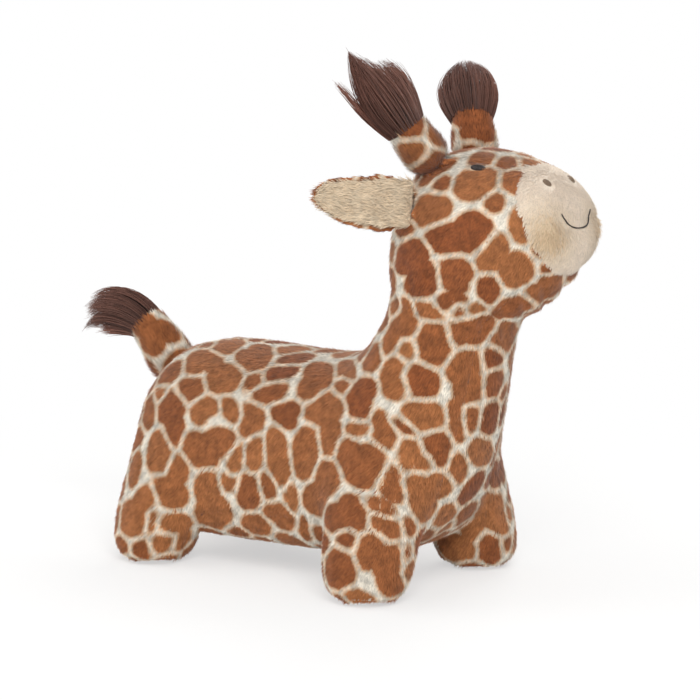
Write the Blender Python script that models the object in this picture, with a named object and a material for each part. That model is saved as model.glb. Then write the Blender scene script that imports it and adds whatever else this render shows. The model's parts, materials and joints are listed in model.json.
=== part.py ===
"""A bouncy ride-on giraffe for a small child, in metres.

An air bladder with four stub legs, a neck and a head fills a sewn plush cover. The cover's outer surface is
drawn first, as a lines plan: one cross-section after another from the rump to the muzzle, with the legs drawn
out of the underside. Every layer is an offset of that surface, and every pattern piece is a region of it.
+X runs to the nose, +Y to the animal's left, +Z up. The origin is on the floor under the middle.
"""

import math
from collections import namedtuple

import bmesh
import bpy
from mathutils import Matrix, Vector
from mathutils.bvhtree import BVHTree

# Layers and clearances
COVER = 0.008  # pile cloth with its backing
AIR_WALL = 0.002  # bladder
COVER_GAP = 0.0007  # between the cover and the bladder
SEAM_GAP = 0.0004  # between two pattern pieces
CLEARANCE = 0.0003  # round every seated piece
NORMAL_REACH = 0.030  # how far round a place its way out is evened

# Heights that several cross-sections share
SEAT_HEIGHT = 0.242
BELLY_HEIGHT = 0.021

# Lines plan. Each cross-section runs from a point on the back to one on the underside, given as x and z in
# side view, with the half width between them. A roundness of 1 is an ellipse, and less is squarer.
Section = namedtuple("Section", "back_x back_z under_x under_z half_width roundness under_roundness")
SECTIONS = (
    Section(-0.209, 0.172, -0.210, 0.100, 0.050, 1.00, 1.00),
    Section(-0.193, 0.219, -0.200, 0.050, 0.088, 0.95, 0.85),
    Section(-0.150, 0.243, -0.150, 0.026, 0.107, 0.92, 0.66),
    Section(-0.092, SEAT_HEIGHT + 0.003, -0.092, BELLY_HEIGHT, 0.113, 0.90, 0.54),
    Section(-0.025, SEAT_HEIGHT, -0.028, BELLY_HEIGHT, 0.110, 0.90, 0.60),
    Section(0.044, SEAT_HEIGHT, 0.040, BELLY_HEIGHT, 0.106, 0.90, 0.68),
    Section(0.085, 0.252, 0.105, BELLY_HEIGHT + 0.001, 0.104, 0.92, 0.74),
    Section(0.102, 0.273, 0.172, 0.040, 0.101, 0.95, 0.85),
    Section(0.111, 0.291, 0.213, 0.090, 0.095, 1.00, 0.95),
    Section(0.116, 0.303, 0.232, 0.155, 0.087, 1.00, 1.00),
    Section(0.120, 0.313, 0.247, 0.220, 0.078, 1.00, 1.00),
    Section(0.119, 0.328, 0.256, 0.280, 0.074, 1.00, 1.00),
    Section(0.115, 0.362, 0.277, 0.299, 0.080, 1.00, 1.00),
    Section(0.121, 0.414, 0.291, 0.302, 0.084, 1.00, 1.00),
    Section(0.150, 0.460, 0.305, 0.313, 0.085, 1.00, 1.00),
    Section(0.212, 0.484, 0.318, 0.327, 0.082, 1.00, 1.00),
    Section(0.284, 0.472, 0.331, 0.341, 0.073, 1.00, 1.00),
    Section(0.318, 0.456, 0.347, 0.358, 0.060, 1.00, 1.00),
    Section(0.339, 0.431, 0.354, 0.384, 0.036, 1.00, 1.00),
)
POINTS_ROUND = 12
CHEST_START = 8  # section where the chest gusset takes over from the belly
HEAD_START = 11  # section of the seam between neck and head
MUZZLE_START = 16  # section of the seam round the muzzle

# Legs: each is drawn from the four faces of the underside that start at this section
Leg = namedtuple("Leg", "first_section centre_x centre_y foot_radius")
REAR_LEG = Leg(1, -0.150, 0.100, 0.050)
FRONT_LEG = Leg(6, 0.148, 0.100, 0.050)
FOOT_HEIGHT = 0.030  # where the foot is widest
SOLE_RADIUS = 0.038

# A subdivided surface draws in from its cage by these shares
BODY_FULLNESS = 1.035
LEG_FULLNESS = 1.25

# Tail, horns and ears: ball or roll roots that turn in the thickness of the cover
SEAT_DEPTH = 0.007
TAIL_AIM_FROM = (-0.120, 0.0, 0.150)
TAIL_AIM = (-0.84, 0.0, 0.54)
TAIL_WAY = (-0.68, 0.0, 0.73)
TAIL_BALL = 0.024
TAIL_LENGTH = 0.050  # ball centre to the end of the sleeve
TAIL_END_RADIUS = 0.0175
TAIL_TUFT_LENGTH = 0.118
TAIL_TUFT_RADIUS = 0.021
TUFT_DROOP = 105  # degrees that the tail tuft bends over its length

HORN_AIM_FROM = (0.209, 0.0, 0.400)
HORN_AIM = (-0.33, 0.52, 0.80)  # for the left horn
HORN_WAY = (-0.42, 0.42, 0.80)
HORN_BALL = 0.0210
HORN_LENGTH = 0.035
HORN_END_RADIUS = 0.0165
HORN_TUFT_LENGTH = 0.085
HORN_TUFT_RADIUS = 0.0285

SLEEVE = 0.003  # cloth of the tail and the horns
SLEEVE_WAIST = 0.60  # share of a sleeve's length where it has narrowed halfway to its end
SLEEVE_SIDES = 12  # of the sleeves and of the tufts in them
TUFT_PLUG = 0.005  # how deep a tuft's bound root sits in its sleeve
TUFT_TIP = 0.0035  # radius at its tip
TUFT_WIDEST = 0.5  # share of its length where a tuft is widest
TUFT_STEPS = 8

EAR_AIM_FROM = (0.195, 0.0, 0.400)
EAR_AIM = (-0.27, 0.94, 0.20)  # for the left ear
EAR_WAY = (-0.70, 0.70, 0.10)
EAR_FACE = (0.60, 0.70, 0.32)  # the way the lining looks
EAR_LENGTH = 0.099
EAR_HALF_WIDTH = 0.033
EAR_ROOT_HALF_WIDTH = 0.014
EAR_TIP_HALF_WIDTH = 0.0046
EAR_WIDEST = 0.64  # below 1, the widest place is nearer the root
EAR_FULLNESS = 0.62  # below 1, the sides are rounder
EAR_EDGE = 0.28  # thickness at the rim over that in the middle
EAR_ROLL = 0.006  # radius of the root roll, and thickness of the ear in its middle
EAR_ROLL_DEPTH = 0.0055
EAR_LINING_THICK = 0.0045
EAR_CUP = 0.011
EAR_ROOT_SHARE = 0.05  # share of the length that stays pinched
EAR_ROWS = (0.0, 0.07, 0.16, 0.30, 0.48, 0.66, 0.82, 0.93, 1.0)  # shares of the length
EAR_COLUMNS = (-1.0, -0.8, -0.42, 0.0, 0.42, 0.8, 1.0)  # shares of the half width

# Stitched face
EYE_AIM_FROM = (0.230, 0.0, 0.420)
EYE_AIM = (0.028, 0.062, 0.054)
EYE_SIZE = (0.0065, 0.0038)
EYE_THICK = 0.0018
NOSTRIL_AIM_FROM = (0.290, 0.0, 0.418)
NOSTRIL_AIM = (0.042, 0.032, 0.042)
NOSTRIL_SIZE = (0.0052, 0.0032)
NOSTRIL_THICK = 0.0012
STITCH_CROWN = 0.55  # flat top of a stitched patch over its size
STITCH_SIDES = 10
MOUTH_AIM_FROM = (0.290, 0.0, 0.418)
MOUTH_TURN = 40  # degrees from the nose to each corner
MOUTH_RISE = 2  # degrees that each corner rises
MOUTH_DIP = -14  # degrees at the middle
MOUTH_RADIUS = 0.0010
MOUTH_STEPS = 14
MOUTH_SIDES = 6

# Belly zip
ZIP_REAR = -0.100
ZIP_FRONT = 0.062
ZIP_DEPTH = 0.0036  # middle of the teeth above the lowest cloth
TAPE_HALF = 0.0006
TAPE_EDGE = 0.0016  # bare tape from the middle line
TAPE_WIDTH = 0.0118
TOOTH_HALF = 0.0012
TOOTH_PITCH = 0.007
TOOTH_WAIST = 0.0005  # how much a tooth narrows behind its head
TOOTH_REACH = 0.0013
BEAD_EDGE = 0.0026
BEAD = 0.0005  # width of the moulded bead that carries the teeth
ZIP_MARGIN = 0.006  # from the slot's end to the first tooth
SLIDER_LENGTH = 0.014
SLIDER_FRONT_HALF = 0.0052
SLIDER_REAR_HALF = 0.0046
SLIDER_NOSE = 0.0030  # length of the slider's tapered front
WEDGE_TAPER = 0.0022  # length of the taper at each end of the wedge
PLATE = 0.0012
FLANGE = 0.0010
LUG = 0.0011
LUG_RIM = 0.0008  # of the lug round the pin
PIN_RADIUS = 0.0009
PULL_EYE = 0.0022
PULL_EYE_HALF = 0.0024
PULL_LENGTH = 0.0145
PULL_HALF_WIDTH = 0.0028
PULL_CORNER = 0.0016
PULL_HALF = 0.0007
STOP_LENGTH = 0.0036
STOP_LAP = 0.0010  # of the end stop over the beads

# Valve, in a moulded well over the zip
VALVE_X = -0.020
WELL_RADIUS = 0.018
WELL_DEPTH = 0.023
VALVE_HOLE = 0.0070
SEAT_FLANGE_RADIUS = 0.0115
SEAT_FLANGE = 0.0020
SEAT_WALL = 0.0022
PLUG_HEAD_RADIUS = 0.0095
PLUG_HEAD = 0.0030
PLUG_CHAMFER = 0.0013
PLUG_STEM = 0.0120
PLUG_TAPER = 0.0018  # at the inner end of the stem

SOLES = ("sole_rear_right", "sole_front_right", "sole_rear_left", "sole_front_left")
PIECES = (
    "flank_panel_right",
    "flank_panel_left",
    "belly_panel_right",
    "belly_panel_left",
    "chest_gusset",
    "head_side_right",
    "head_side_left",
    "crown_gusset",
    "jaw_gusset",
    "muzzle_upper",
    "muzzle_lower",
) + SOLES

PRINT_COLOUR = (0.36, 0.11, 0.035)
CREAM_COLOUR = (0.70, 0.55, 0.38)
TUFT_COLOUR = (0.055, 0.028, 0.022)
THREAD_COLOUR = (0.05, 0.03, 0.02)


def clear_scene():
    for leftover in list(bpy.data.objects):
        bpy.data.objects.remove(leftover, do_unlink=True)


def material(name, colour, roughness=0.9, metallic=0.0):
    made = bpy.data.materials.get(name) or bpy.data.materials.new(name)
    made.use_nodes = True
    shader = made.node_tree.nodes["Principled BSDF"]
    shader.inputs["Base Color"].default_value = (*colour, 1.0)
    shader.inputs["Roughness"].default_value = roughness
    shader.inputs["Metallic"].default_value = metallic
    return made


def solid_from_bmesh(name, bm, finish, pivot=(0.0, 0.0, 0.0)):
    """A mesh object whose points are given in world space and whose origin is the pivot."""
    bmesh.ops.translate(bm, verts=bm.verts[:], vec=-Vector(pivot))
    bmesh.ops.recalc_face_normals(bm, faces=bm.faces[:])
    mesh = bpy.data.meshes.new(name)
    bm.to_mesh(mesh)
    bm.free()
    mesh.shade_smooth()
    mesh.set_sharp_from_angle(angle=math.radians(40))
    made = bpy.data.objects.new(name, mesh)
    made.location = pivot
    bpy.context.scene.collection.objects.link(made)
    if finish:
        mesh.materials.append(finish)
    else:
        made.hide_render = True
        made.display_type = "WIRE"
    return made


def solid(name, points, faces, finish=None):
    bm = bmesh.new()
    corners = [bm.verts.new(p) for p in points]
    for face in faces:
        bm.faces.new([corners[i] for i in face])
    return solid_from_bmesh(name, bm, finish)


def boolean(target, tool, operation="DIFFERENCE"):
    modifier = target.modifiers.new(tool.name, "BOOLEAN")
    modifier.operation = operation
    modifier.object = tool
    modifier.solver = "EXACT"


def box(name, low, high, finish=None, pivot=(0.0, 0.0, 0.0)):
    bm = bmesh.new()
    size = Vector(high) - Vector(low)
    middle = (Vector(high) + Vector(low)) / 2
    bmesh.ops.create_cube(bm, size=1.0, matrix=Matrix.Translation(middle) @ Matrix.Diagonal((*size, 1.0)))
    return solid_from_bmesh(name, bm, finish, pivot)


def frame_along(way, side=(0.0, 1.0, 0.0)):
    """A turn whose Z runs along the way and whose Y is as near the side as it can be."""
    z = Vector(way).normalized()
    x = Vector(side).cross(z).normalized()
    y = z.cross(x)
    return Matrix((x, y, z)).transposed().to_4x4()


def turned(name, profile, place, finish=None, pivot=(0.0, 0.0, 0.0), sides=16, closed=False):
    """A profile of radius and height, spun round the local Z of the place."""
    bm = bmesh.new()
    ends = [bm.verts.new((radius, 0.0, height)) for radius, height in profile]
    edges = [bm.edges.new(pair) for pair in zip(ends, ends[1:])]
    if closed:
        edges.append(bm.edges.new((ends[-1], ends[0])))
    bmesh.ops.spin(bm, geom=ends + edges, cent=(0, 0, 0), axis=(0, 0, 1), angle=math.tau, steps=sides)
    bmesh.ops.remove_doubles(bm, verts=bm.verts[:], dist=1e-6)
    bmesh.ops.transform(bm, matrix=place, verts=bm.verts[:])
    return solid_from_bmesh(name, bm, finish, pivot)


def extruded(name, outline, low, high, finish=None, pivot=(0.0, 0.0, 0.0), upright=False):
    """An outline in X and Y, drawn out from low to high along Z, or one in X and Z drawn out along Y."""
    bm = bmesh.new()
    rows = []
    for level in (low, high):
        places = [(a, level, b) if upright else (a, b, level) for a, b in outline]
        rows.append([bm.verts.new(p) for p in places])
    bm.faces.new(rows[0])
    bm.faces.new(rows[1])
    for i in range(len(outline)):
        after = (i + 1) % len(outline)
        bm.faces.new((rows[0][i], rows[0][after], rows[1][after], rows[1][i]))
    return solid_from_bmesh(name, bm, finish, pivot)


def lofted(name, rings, finish=None, pivot=(0.0, 0.0, 0.0)):
    """A skin over equal rings of points, closed at both ends."""
    bm = bmesh.new()
    rows = [[bm.verts.new(p) for p in ring] for ring in rings]
    for low, high in zip(rows, rows[1:]):
        for i in range(len(low)):
            after = (i + 1) % len(low)
            bm.faces.new((low[i], low[after], high[after], high[i]))
    bm.faces.new(rows[0])
    bm.faces.new(rows[-1])
    return solid_from_bmesh(name, bm, finish, pivot)


def slab(name, front, back, finish, pivot):
    """A closed sheet between two equal grids of points."""
    bm = bmesh.new()
    layers = [[[bm.verts.new(p) for p in row] for row in grid] for grid in (front, back)]
    tall, wide = len(front), len(front[0])
    for layer in layers:
        for i in range(tall - 1):
            for j in range(wide - 1):
                bm.faces.new((layer[i][j], layer[i][j + 1], layer[i + 1][j + 1]))
                bm.faces.new((layer[i][j], layer[i + 1][j + 1], layer[i + 1][j]))
    rim = [(0, j) for j in range(wide)] + [(i, wide - 1) for i in range(1, tall)]
    rim += [(tall - 1, j) for j in range(wide - 2, -1, -1)] + [(i, 0) for i in range(tall - 2, 0, -1)]
    for (i, j), (m, n) in zip(rim, rim[1:] + rim[:1]):
        bm.faces.new((layers[0][i][j], layers[0][m][n], layers[1][m][n], layers[1][i][j]))
    return solid_from_bmesh(name, bm, finish, pivot)


def section_points(section):
    back = Vector((section.back_x, 0.0, section.back_z))
    under = Vector((section.under_x, 0.0, section.under_z))
    middle, half = (back + under) / 2, (back - under) / 2 * BODY_FULLNESS
    for step in range(POINTS_ROUND):
        angle = math.tau * step / POINTS_ROUND
        up, side = math.cos(angle), math.sin(angle)
        power = section.roundness if up > 0 else section.under_roundness
        up = math.copysign(abs(up) ** power, up)
        side = math.copysign(abs(side) ** power, side)
        yield middle + half * up - Vector((0.0, section.half_width * BODY_FULLNESS * side, 0.0))


def piece_at(band, step):
    """The pattern piece of the cage face in this band, counted from the back over the right side."""
    right = step < POINTS_ROUND // 2
    side = "right" if right else "left"
    from_back = step if right else POINTS_ROUND - 1 - step
    if band >= MUZZLE_START:
        return "muzzle_upper" if from_back < 3 else "muzzle_lower"
    if band >= HEAD_START:
        if from_back == 0:
            return "crown_gusset"
        return "jaw_gusset" if from_back == 5 else "head_side_" + side
    if band >= CHEST_START:
        return "chest_gusset" if from_back == 5 else "flank_panel_" + side
    if band > 0 and from_back > 3:
        return "belly_panel_" + side
    return "flank_panel_" + side


def cage_faces(cage, rings, left_out):
    for band, (low, high) in enumerate(zip(rings, rings[1:])):
        for step in range(POINTS_ROUND):
            if (band, step) in left_out:
                continue
            after = (step + 1) % POINTS_ROUND
            face = cage.faces.new((low[step], low[after], high[after], high[step]))
            face.material_index = PIECES.index(piece_at(band, step))
    half = POINTS_ROUND // 2
    for name, first in (("flank_panel_right", 0), ("flank_panel_left", half)):
        face = cage.faces.new([rings[0][(first + i) % POINTS_ROUND] for i in range(half + 1)])
        face.material_index = PIECES.index(name)
    quarter = POINTS_ROUND // 4
    for name, first in (("muzzle_upper", -quarter), ("muzzle_lower", quarter)):
        face = cage.faces.new([rings[-1][(first + i) % POINTS_ROUND] for i in range(half + 1)])
        face.material_index = PIECES.index(name)


def draw_leg(cage, rings, leg, side, front):
    """Draws one leg from the rim of the four faces that the body leaves out."""
    a = leg.first_section
    outer, middle, inner = (3, 4, 5) if side == "right" else (9, 8, 7)
    rim = [rings[a][outer], rings[a + 1][outer], rings[a + 2][outer], rings[a + 2][middle]]
    rim += [rings[a + 2][inner], rings[a + 1][inner], rings[a][inner], rings[a][middle]]
    out = -1 if side == "right" else 1
    directions = [(-1, 1), (0, 1), (1, 1), (1, 0), (1, -1), (0, -1), (-1, -1), (-1, 0)]
    levels = ((FOOT_HEIGHT, leg.foot_radius), (0.0, SOLE_RADIUS))
    rows = [rim]
    for height, radius in levels:
        row = []
        for forward, outward in directions:
            way = Vector((forward, outward * out, 0.0)).normalized() * radius * LEG_FULLNESS
            row.append(cage.verts.new((leg.centre_x + way.x, leg.centre_y * out + way.y, height)))
        rows.append(row)
    outer_faces = {0, 1, 2, 7} | ({3} if front else set())
    for low, high in zip(rows, rows[1:]):
        for i in range(8):
            after = (i + 1) % 8
            face = cage.faces.new((low[i], low[after], high[after], high[i]))
            name = "flank_panel_" if i in outer_faces else "belly_panel_"
            face.material_index = PIECES.index(name + side)
    sole = "sole_" + ("front_" if front else "rear_") + side
    centre = cage.verts.new((leg.centre_x, leg.centre_y * out, 0.0))
    for i in range(1, 9, 2):
        face = cage.faces.new((rows[-1][i - 1], rows[-1][i], rows[-1][(i + 1) % 8], centre))
        face.material_index = PIECES.index(sole)


def flatten_soles(mesh):
    """Lays the soles on the floor with round rims. Returns the points that lie there."""
    flat, beside = set(), set()
    for face in mesh.polygons:
        group = flat if PIECES[face.material_index] in SOLES else beside
        group.update(face.vertices)
    for i in flat:
        point = mesh.vertices[i].co
        leg = REAR_LEG if point.x < 0 else FRONT_LEG
        centre = Vector((leg.centre_x, math.copysign(leg.centre_y, point.y), 0.0))
        point.z = 0.0
        if i in beside:
            mesh.vertices[i].co = centre + (point - centre).normalized() * SOLE_RADIUS
    return flat


class Surface:
    """The cover's outer surface: points, normals, triangles, and each triangle's pattern piece.

    Every layer uses the same triangles, so that two layers can't cross where the surface is saddle-shaped.
    """

    def __init__(self):
        cage = bmesh.new()
        rings = [[cage.verts.new(p) for p in section_points(s)] for s in SECTIONS]
        legs = ((REAR_LEG, False), (FRONT_LEG, True))
        left_out = {
            (leg.first_section + i, step) for leg, _ in legs for i in (0, 1) for step in (3, 4, 7, 8)
        }
        cage_faces(cage, rings, left_out)
        for leg, front in legs:
            for side in ("right", "left"):
                draw_leg(cage, rings, leg, side, front)
        bmesh.ops.delete(cage, geom=[v for v in cage.verts if not v.link_faces], context="VERTS")
        drawn = solid_from_bmesh("cage", cage, None)
        for name in PIECES:
            drawn.data.materials.append(material(name, PRINT_COLOUR))
        rounder = drawn.modifiers.new("rounder", "SUBSURF")
        rounder.levels = rounder.render_levels = 1
        mesh = bpy.data.meshes.new_from_object(drawn.evaluated_get(bpy.context.evaluated_depsgraph_get()))
        on_floor = flatten_soles(mesh)
        mesh.update()
        mesh.calc_loop_triangles()
        self.points = [v.co.copy() for v in mesh.vertices]
        self.normals = [v.normal.copy() for v in mesh.vertices]
        for i in on_floor:
            self.normals[i] = Vector((0.0, 0.0, -1.0))
        self.faces = [tuple(triangle.vertices) for triangle in mesh.loop_triangles]
        self.pieces = [PIECES[triangle.material_index] for triangle in mesh.loop_triangles]
        self.tree = BVHTree.FromPolygons(self.points, self.faces)
        bpy.data.objects.remove(drawn, do_unlink=True)

    def offset(self, depth):
        return [p - n * depth for p, n in zip(self.points, self.normals)]

    def seat(self, start, way):
        """Where a line from a point meets the surface."""
        return self.tree.ray_cast(Vector(start), Vector(way).normalized())[0]

    def soft_normal(self, place):
        """The way out at a place, evened over the points near it."""
        total = Vector()
        for p, n in zip(self.points, self.normals):
            total += n * max(0.0, NORMAL_REACH - (p - place).length)
        return total.normalized()

    def panel(self, name, finish):
        """One pattern piece as a closed sheet of cloth, drawn in at its seams."""
        faces = [f for f, piece in zip(self.faces, self.pieces) if piece == name]
        ways = {(a, b) for f in faces for a, b in zip(f, f[1:] + f[:1])}
        rim = [(a, b) for a, b in ways if (b, a) not in ways]
        before, after = {b: a for a, b in rim}, dict(rim)
        used = sorted({i for f in faces for i in f})
        inner = self.offset(COVER)
        outside, inside = [], []
        for i in used:
            shift = Vector()
            if i in after:
                along = self.points[after[i]] - self.points[before[i]]
                shift = self.normals[i].cross(along).normalized() * SEAM_GAP / 2
            outside.append(self.points[i] + shift)
            inside.append(inner[i] + shift)
        place = {i: k for k, i in enumerate(used)}
        count = len(used)
        skin = [tuple(place[i] for i in f) for f in faces]
        skin += [tuple(place[i] + count for i in reversed(f)) for f in faces]
        for a, b in sorted(rim):
            low, high = place[a], place[b]
            if a < b:
                skin += [(high, low, high + count), (low, low + count, high + count)]
            else:
                skin += [(high, low, low + count), (high, low + count, high + count)]
        return solid(name, outside + inside, skin, finish)


def mirrored(way, side):
    return Vector((way[0], way[1] if side == "left" else -way[1], way[2]))


def make_cover(surface):
    cloth = {}
    print_cloth = material("print_plush", PRINT_COLOUR)
    cream_cloth = material("cream_plush", CREAM_COLOUR)
    for name in PIECES:
        cloth[name] = surface.panel(name, cream_cloth if name.startswith("muzzle") else print_cloth)
    return cloth


def make_bladder(surface):
    """The air bladder. Its cavity is drawn in round the valve well and opens through the valve hole."""
    rubber = material("bladder_rubber", (0.75, 0.72, 0.66), 0.5)
    outer = solid("air_bladder", surface.offset(COVER + COVER_GAP), surface.faces, rubber)
    cavity = solid("air_cavity", surface.offset(COVER + COVER_GAP + AIR_WALL), surface.faces)
    floor = well_floor()
    low = BELLY_HEIGHT
    place = Matrix.Translation((VALVE_X, 0.0, 0.0))
    cup_profile = ((0.0, low), (WELL_RADIUS + AIR_WALL, low), (WELL_RADIUS + AIR_WALL, floor + AIR_WALL))
    cup = turned("well_cup", cup_profile + ((0.0, floor + AIR_WALL),), place)
    beyond = floor + 2 * AIR_WALL
    well_profile = ((0.0, low), (WELL_RADIUS, low), (WELL_RADIUS, floor), (VALVE_HOLE, floor))
    well = turned("well_space", well_profile + ((VALVE_HOLE, beyond), (0.0, beyond)), place)
    boolean(cavity, cup)
    boolean(cavity, well, "UNION")
    boolean(outer, cavity)


def well_floor():
    """Height of the well's inner end, which faces the floor."""
    return BELLY_HEIGHT + COVER + COVER_GAP + WELL_DEPTH


def make_valve():
    rubber = material("valve_rubber", (0.30, 0.30, 0.31), 0.45)
    place = Matrix.Translation((VALVE_X, 0.0, 0.0))
    under = well_floor() - CLEARANCE
    tube = VALVE_HOLE - CLEARANCE
    bore = tube - SEAT_WALL
    top = well_floor() + 2 * AIR_WALL
    seat = (
        (bore, under - SEAT_FLANGE),
        (SEAT_FLANGE_RADIUS, under - SEAT_FLANGE),
        (SEAT_FLANGE_RADIUS, under),
        (tube, under),
        (tube, top),
        (bore, top),
    )
    turned("valve_seat", seat, place, rubber, closed=True)
    face = under - SEAT_FLANGE - CLEARANCE
    stem = bore - CLEARANCE
    plug = (
        (0.0, face - PLUG_HEAD),
        (PLUG_HEAD_RADIUS - PLUG_CHAMFER, face - PLUG_HEAD),
        (PLUG_HEAD_RADIUS, face - PLUG_HEAD + PLUG_CHAMFER),
        (PLUG_HEAD_RADIUS, face),
        (stem, face),
        (stem, face + PLUG_STEM - PLUG_TAPER),
        (stem - PLUG_TAPER / 2, face + PLUG_STEM),
        (0.0, face + PLUG_STEM),
    )
    turned("valve_plug", plug, place, rubber, pivot=(VALVE_X, 0.0, face))


def tooth_outline(start):
    """One tooth of the right tape, from its bead out past the middle line, with a waist before its head."""
    width = TOOTH_PITCH / 2 - CLEARANCE
    return [
        (start + TOOTH_WAIST, -BEAD_EDGE),
        (start, TOOTH_REACH),
        (start + width, TOOTH_REACH),
        (start + width - TOOTH_WAIST, -BEAD_EDGE),
    ]


def make_zip(cloth):
    level = BELLY_HEIGHT + ZIP_DEPTH
    opening = box(
        "zip_opening",
        (ZIP_REAR, -TAPE_WIDTH - CLEARANCE, BELLY_HEIGHT - COVER),
        (ZIP_FRONT, TAPE_WIDTH + CLEARANCE, BELLY_HEIGHT + 2 * COVER),
    )
    tape_cloth = material("zip_tape_cloth", (0.30, 0.12, 0.05), 0.8)
    first = ZIP_REAR + ZIP_MARGIN
    slider_x = ZIP_FRONT - ZIP_MARGIN - SLIDER_LENGTH / 2
    count = int((slider_x - WEDGE_TAPER / 2 - first) / TOOTH_PITCH)
    for side, sign in (("right", 1), ("left", -1)):
        boolean(cloth["belly_panel_" + side], opening)
        shift = 0.0 if side == "right" else TOOTH_PITCH / 2
        outline = []
        for i in range(count):
            outline += tooth_outline(first + shift + i * TOOTH_PITCH)
        last = outline[-1][0]
        outline += [(last, -BEAD_EDGE - BEAD), (first + shift, -BEAD_EDGE - BEAD)]
        outline = [(x, y * sign) for x, y in outline]
        teeth = extruded("zip_teeth_" + side, outline, level - TOOTH_HALF, level + TOOTH_HALF)
        ends = sorted((-TAPE_WIDTH * sign, -TAPE_EDGE * sign))
        tape = box(
            "zip_tape_" + side,
            (ZIP_REAR + CLEARANCE, ends[0], level - TAPE_HALF),
            (ZIP_FRONT - CLEARANCE, ends[1], level + TAPE_HALF),
            tape_cloth,
        )
        boolean(tape, teeth, "UNION")
    make_end_stop(level, first - CLEARANCE)
    make_slider(level, slider_x)


def make_end_stop(level, edge):
    """A moulded stop across both tapes, with a web between them."""
    plastic = material("zip_plastic", (0.20, 0.09, 0.04), 0.4)
    rear = edge - STOP_LENGTH
    web = TAPE_EDGE - CLEARANCE
    flat = TAPE_HALF + CLEARANCE
    wide = BEAD_EDGE + STOP_LAP
    outside = flat + PLATE
    stop = box("zip_end_stop", (rear, -web, level - outside), (edge, web, level + outside), plastic)
    for name, low in (("stop_lower", level - outside), ("stop_upper", level + flat)):
        boolean(stop, box(name, (rear, -wide, low), (edge, wide, low + PLATE)), "UNION")


def round_lug(x, top, pin_z):
    """Side view of a lug: straight down from the plate, and round below the pin."""
    radius = PIN_RADIUS + LUG_RIM
    outline = [(x - radius, top)]
    for angle in range(180, 361, 45):
        turn = math.radians(angle)
        outline.append((x + radius * math.cos(turn), pin_z + radius * math.sin(turn)))
    return outline + [(x + radius, top)]


def make_slider(level, x):
    """Two plates on a wedge, with flanges round the tapes and lugs that hold the pull's pin."""
    metal = material("zip_metal", (0.55, 0.47, 0.36), 0.35, 0.9)
    rear, front = x - SLIDER_LENGTH / 2, x + SLIDER_LENGTH / 2
    half_plate = [(rear, SLIDER_REAR_HALF), (x, SLIDER_REAR_HALF + CLEARANCE)]
    half_plate += [(front - SLIDER_NOSE, SLIDER_FRONT_HALF), (front, SLIDER_FRONT_HALF - SLIDER_NOSE * 0.7)]
    plate = half_plate + [(a, -b) for a, b in reversed(half_plate)]
    inside = TOOTH_HALF + CLEARANCE
    middle = inside + PLATE / 2
    slider = extruded("zip_slider", plate, level - inside - PLATE, level - inside, metal)
    upper = extruded("slider_upper", plate, level + inside, level + inside + PLATE)
    web = TAPE_EDGE - 2 * CLEARANCE
    half_wedge = [(x, 0.0), (x + WEDGE_TAPER, -web), (front - WEDGE_TAPER, -web), (front, 0.0)]
    wedge = half_wedge + [(a, -b) for a, b in half_wedge[2:0:-1]]
    boolean(slider, extruded("slider_post", wedge, level - middle, level + middle), "UNION")
    boolean(slider, upper, "UNION")
    lip = TAPE_HALF + CLEARANCE
    for sign in (-1, 1):
        ends = sorted((sign * SLIDER_REAR_HALF, sign * (SLIDER_REAR_HALF - FLANGE)))
        for low, high in ((level - middle, level - lip), (level + lip, level + middle)):
            flange = box("slider_flange", (rear + CLEARANCE, ends[0], low), (x, ends[1], high))
            boolean(slider, flange, "UNION")
    pin_z = level - inside - PLATE - CLEARANCE - PULL_EYE
    lug_edge = PULL_EYE_HALF + CLEARANCE
    for sign in (-1, 1):
        ends = sorted((sign * lug_edge, sign * (lug_edge + LUG)))
        outline = round_lug(x, level - middle, pin_z)
        boolean(slider, extruded("slider_lug", outline, *ends, upright=True), "UNION")
    pin_half = lug_edge + LUG / 2
    place = Matrix.Translation((x, 0.0, pin_z)) @ frame_along((0.0, 1.0, 0.0), (1.0, 0.0, 0.0))
    pin = ((0.0, -pin_half), (PIN_RADIUS, -pin_half), (PIN_RADIUS, pin_half), (0.0, pin_half))
    boolean(slider, turned("slider_pin", pin, place, sides=10), "UNION")
    make_pull(place, metal)


def make_pull(place, metal):
    """A tag on an eye that swings on the slider's pin."""
    pivot = place.translation
    hole = PIN_RADIUS + CLEARANCE
    ring = [(radius, -PULL_EYE_HALF) for radius in (hole, PULL_EYE)]
    ring += [(radius, PULL_EYE_HALF) for radius in (PULL_EYE, hole)]
    pull = turned("zip_pull", ring, place, metal, pivot=pivot, sides=12, closed=True)
    top = -(hole + PULL_EYE) / 2
    half_tag = [(PULL_EYE_HALF, top), (PULL_HALF_WIDTH, PULL_CORNER - PULL_LENGTH)]
    half_tag.append((PULL_HALF_WIDTH - PULL_CORNER, -PULL_LENGTH))
    outline = half_tag + [(-a, b) for a, b in reversed(half_tag)]
    sheets = [[pivot + Vector((x, y, z)) for y, z in outline] for x in (-PULL_HALF, PULL_HALF)]
    boolean(pull, lofted("pull_tag", sheets), "UNION")


def ball_root(surface, start, aim, ball):
    """The middle of a ball root that is sunk by the seat depth where the aim meets the surface."""
    place = surface.seat(start, aim)
    return place + surface.soft_normal(place) * (ball - SEAT_DEPTH)


def sleeve_profile(ball, length, end):
    """Outer profile of a tail or horn sleeve, from under its ball up to its open end."""
    turns = [math.radians(angle) for angle in range(0, 101, 25)]
    points = [(ball * math.sin(turn), -ball * math.cos(turn)) for turn in turns]
    return points + [((ball + end) / 2, length * SLEEVE_WAIST), (end, length)]


def shrunk(profile, wall):
    """The same profile moved in by a wall, up to the open end."""
    return [(max(0.0, radius - wall), height + (wall if height < 0 else 0.0)) for radius, height in profile]


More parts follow.
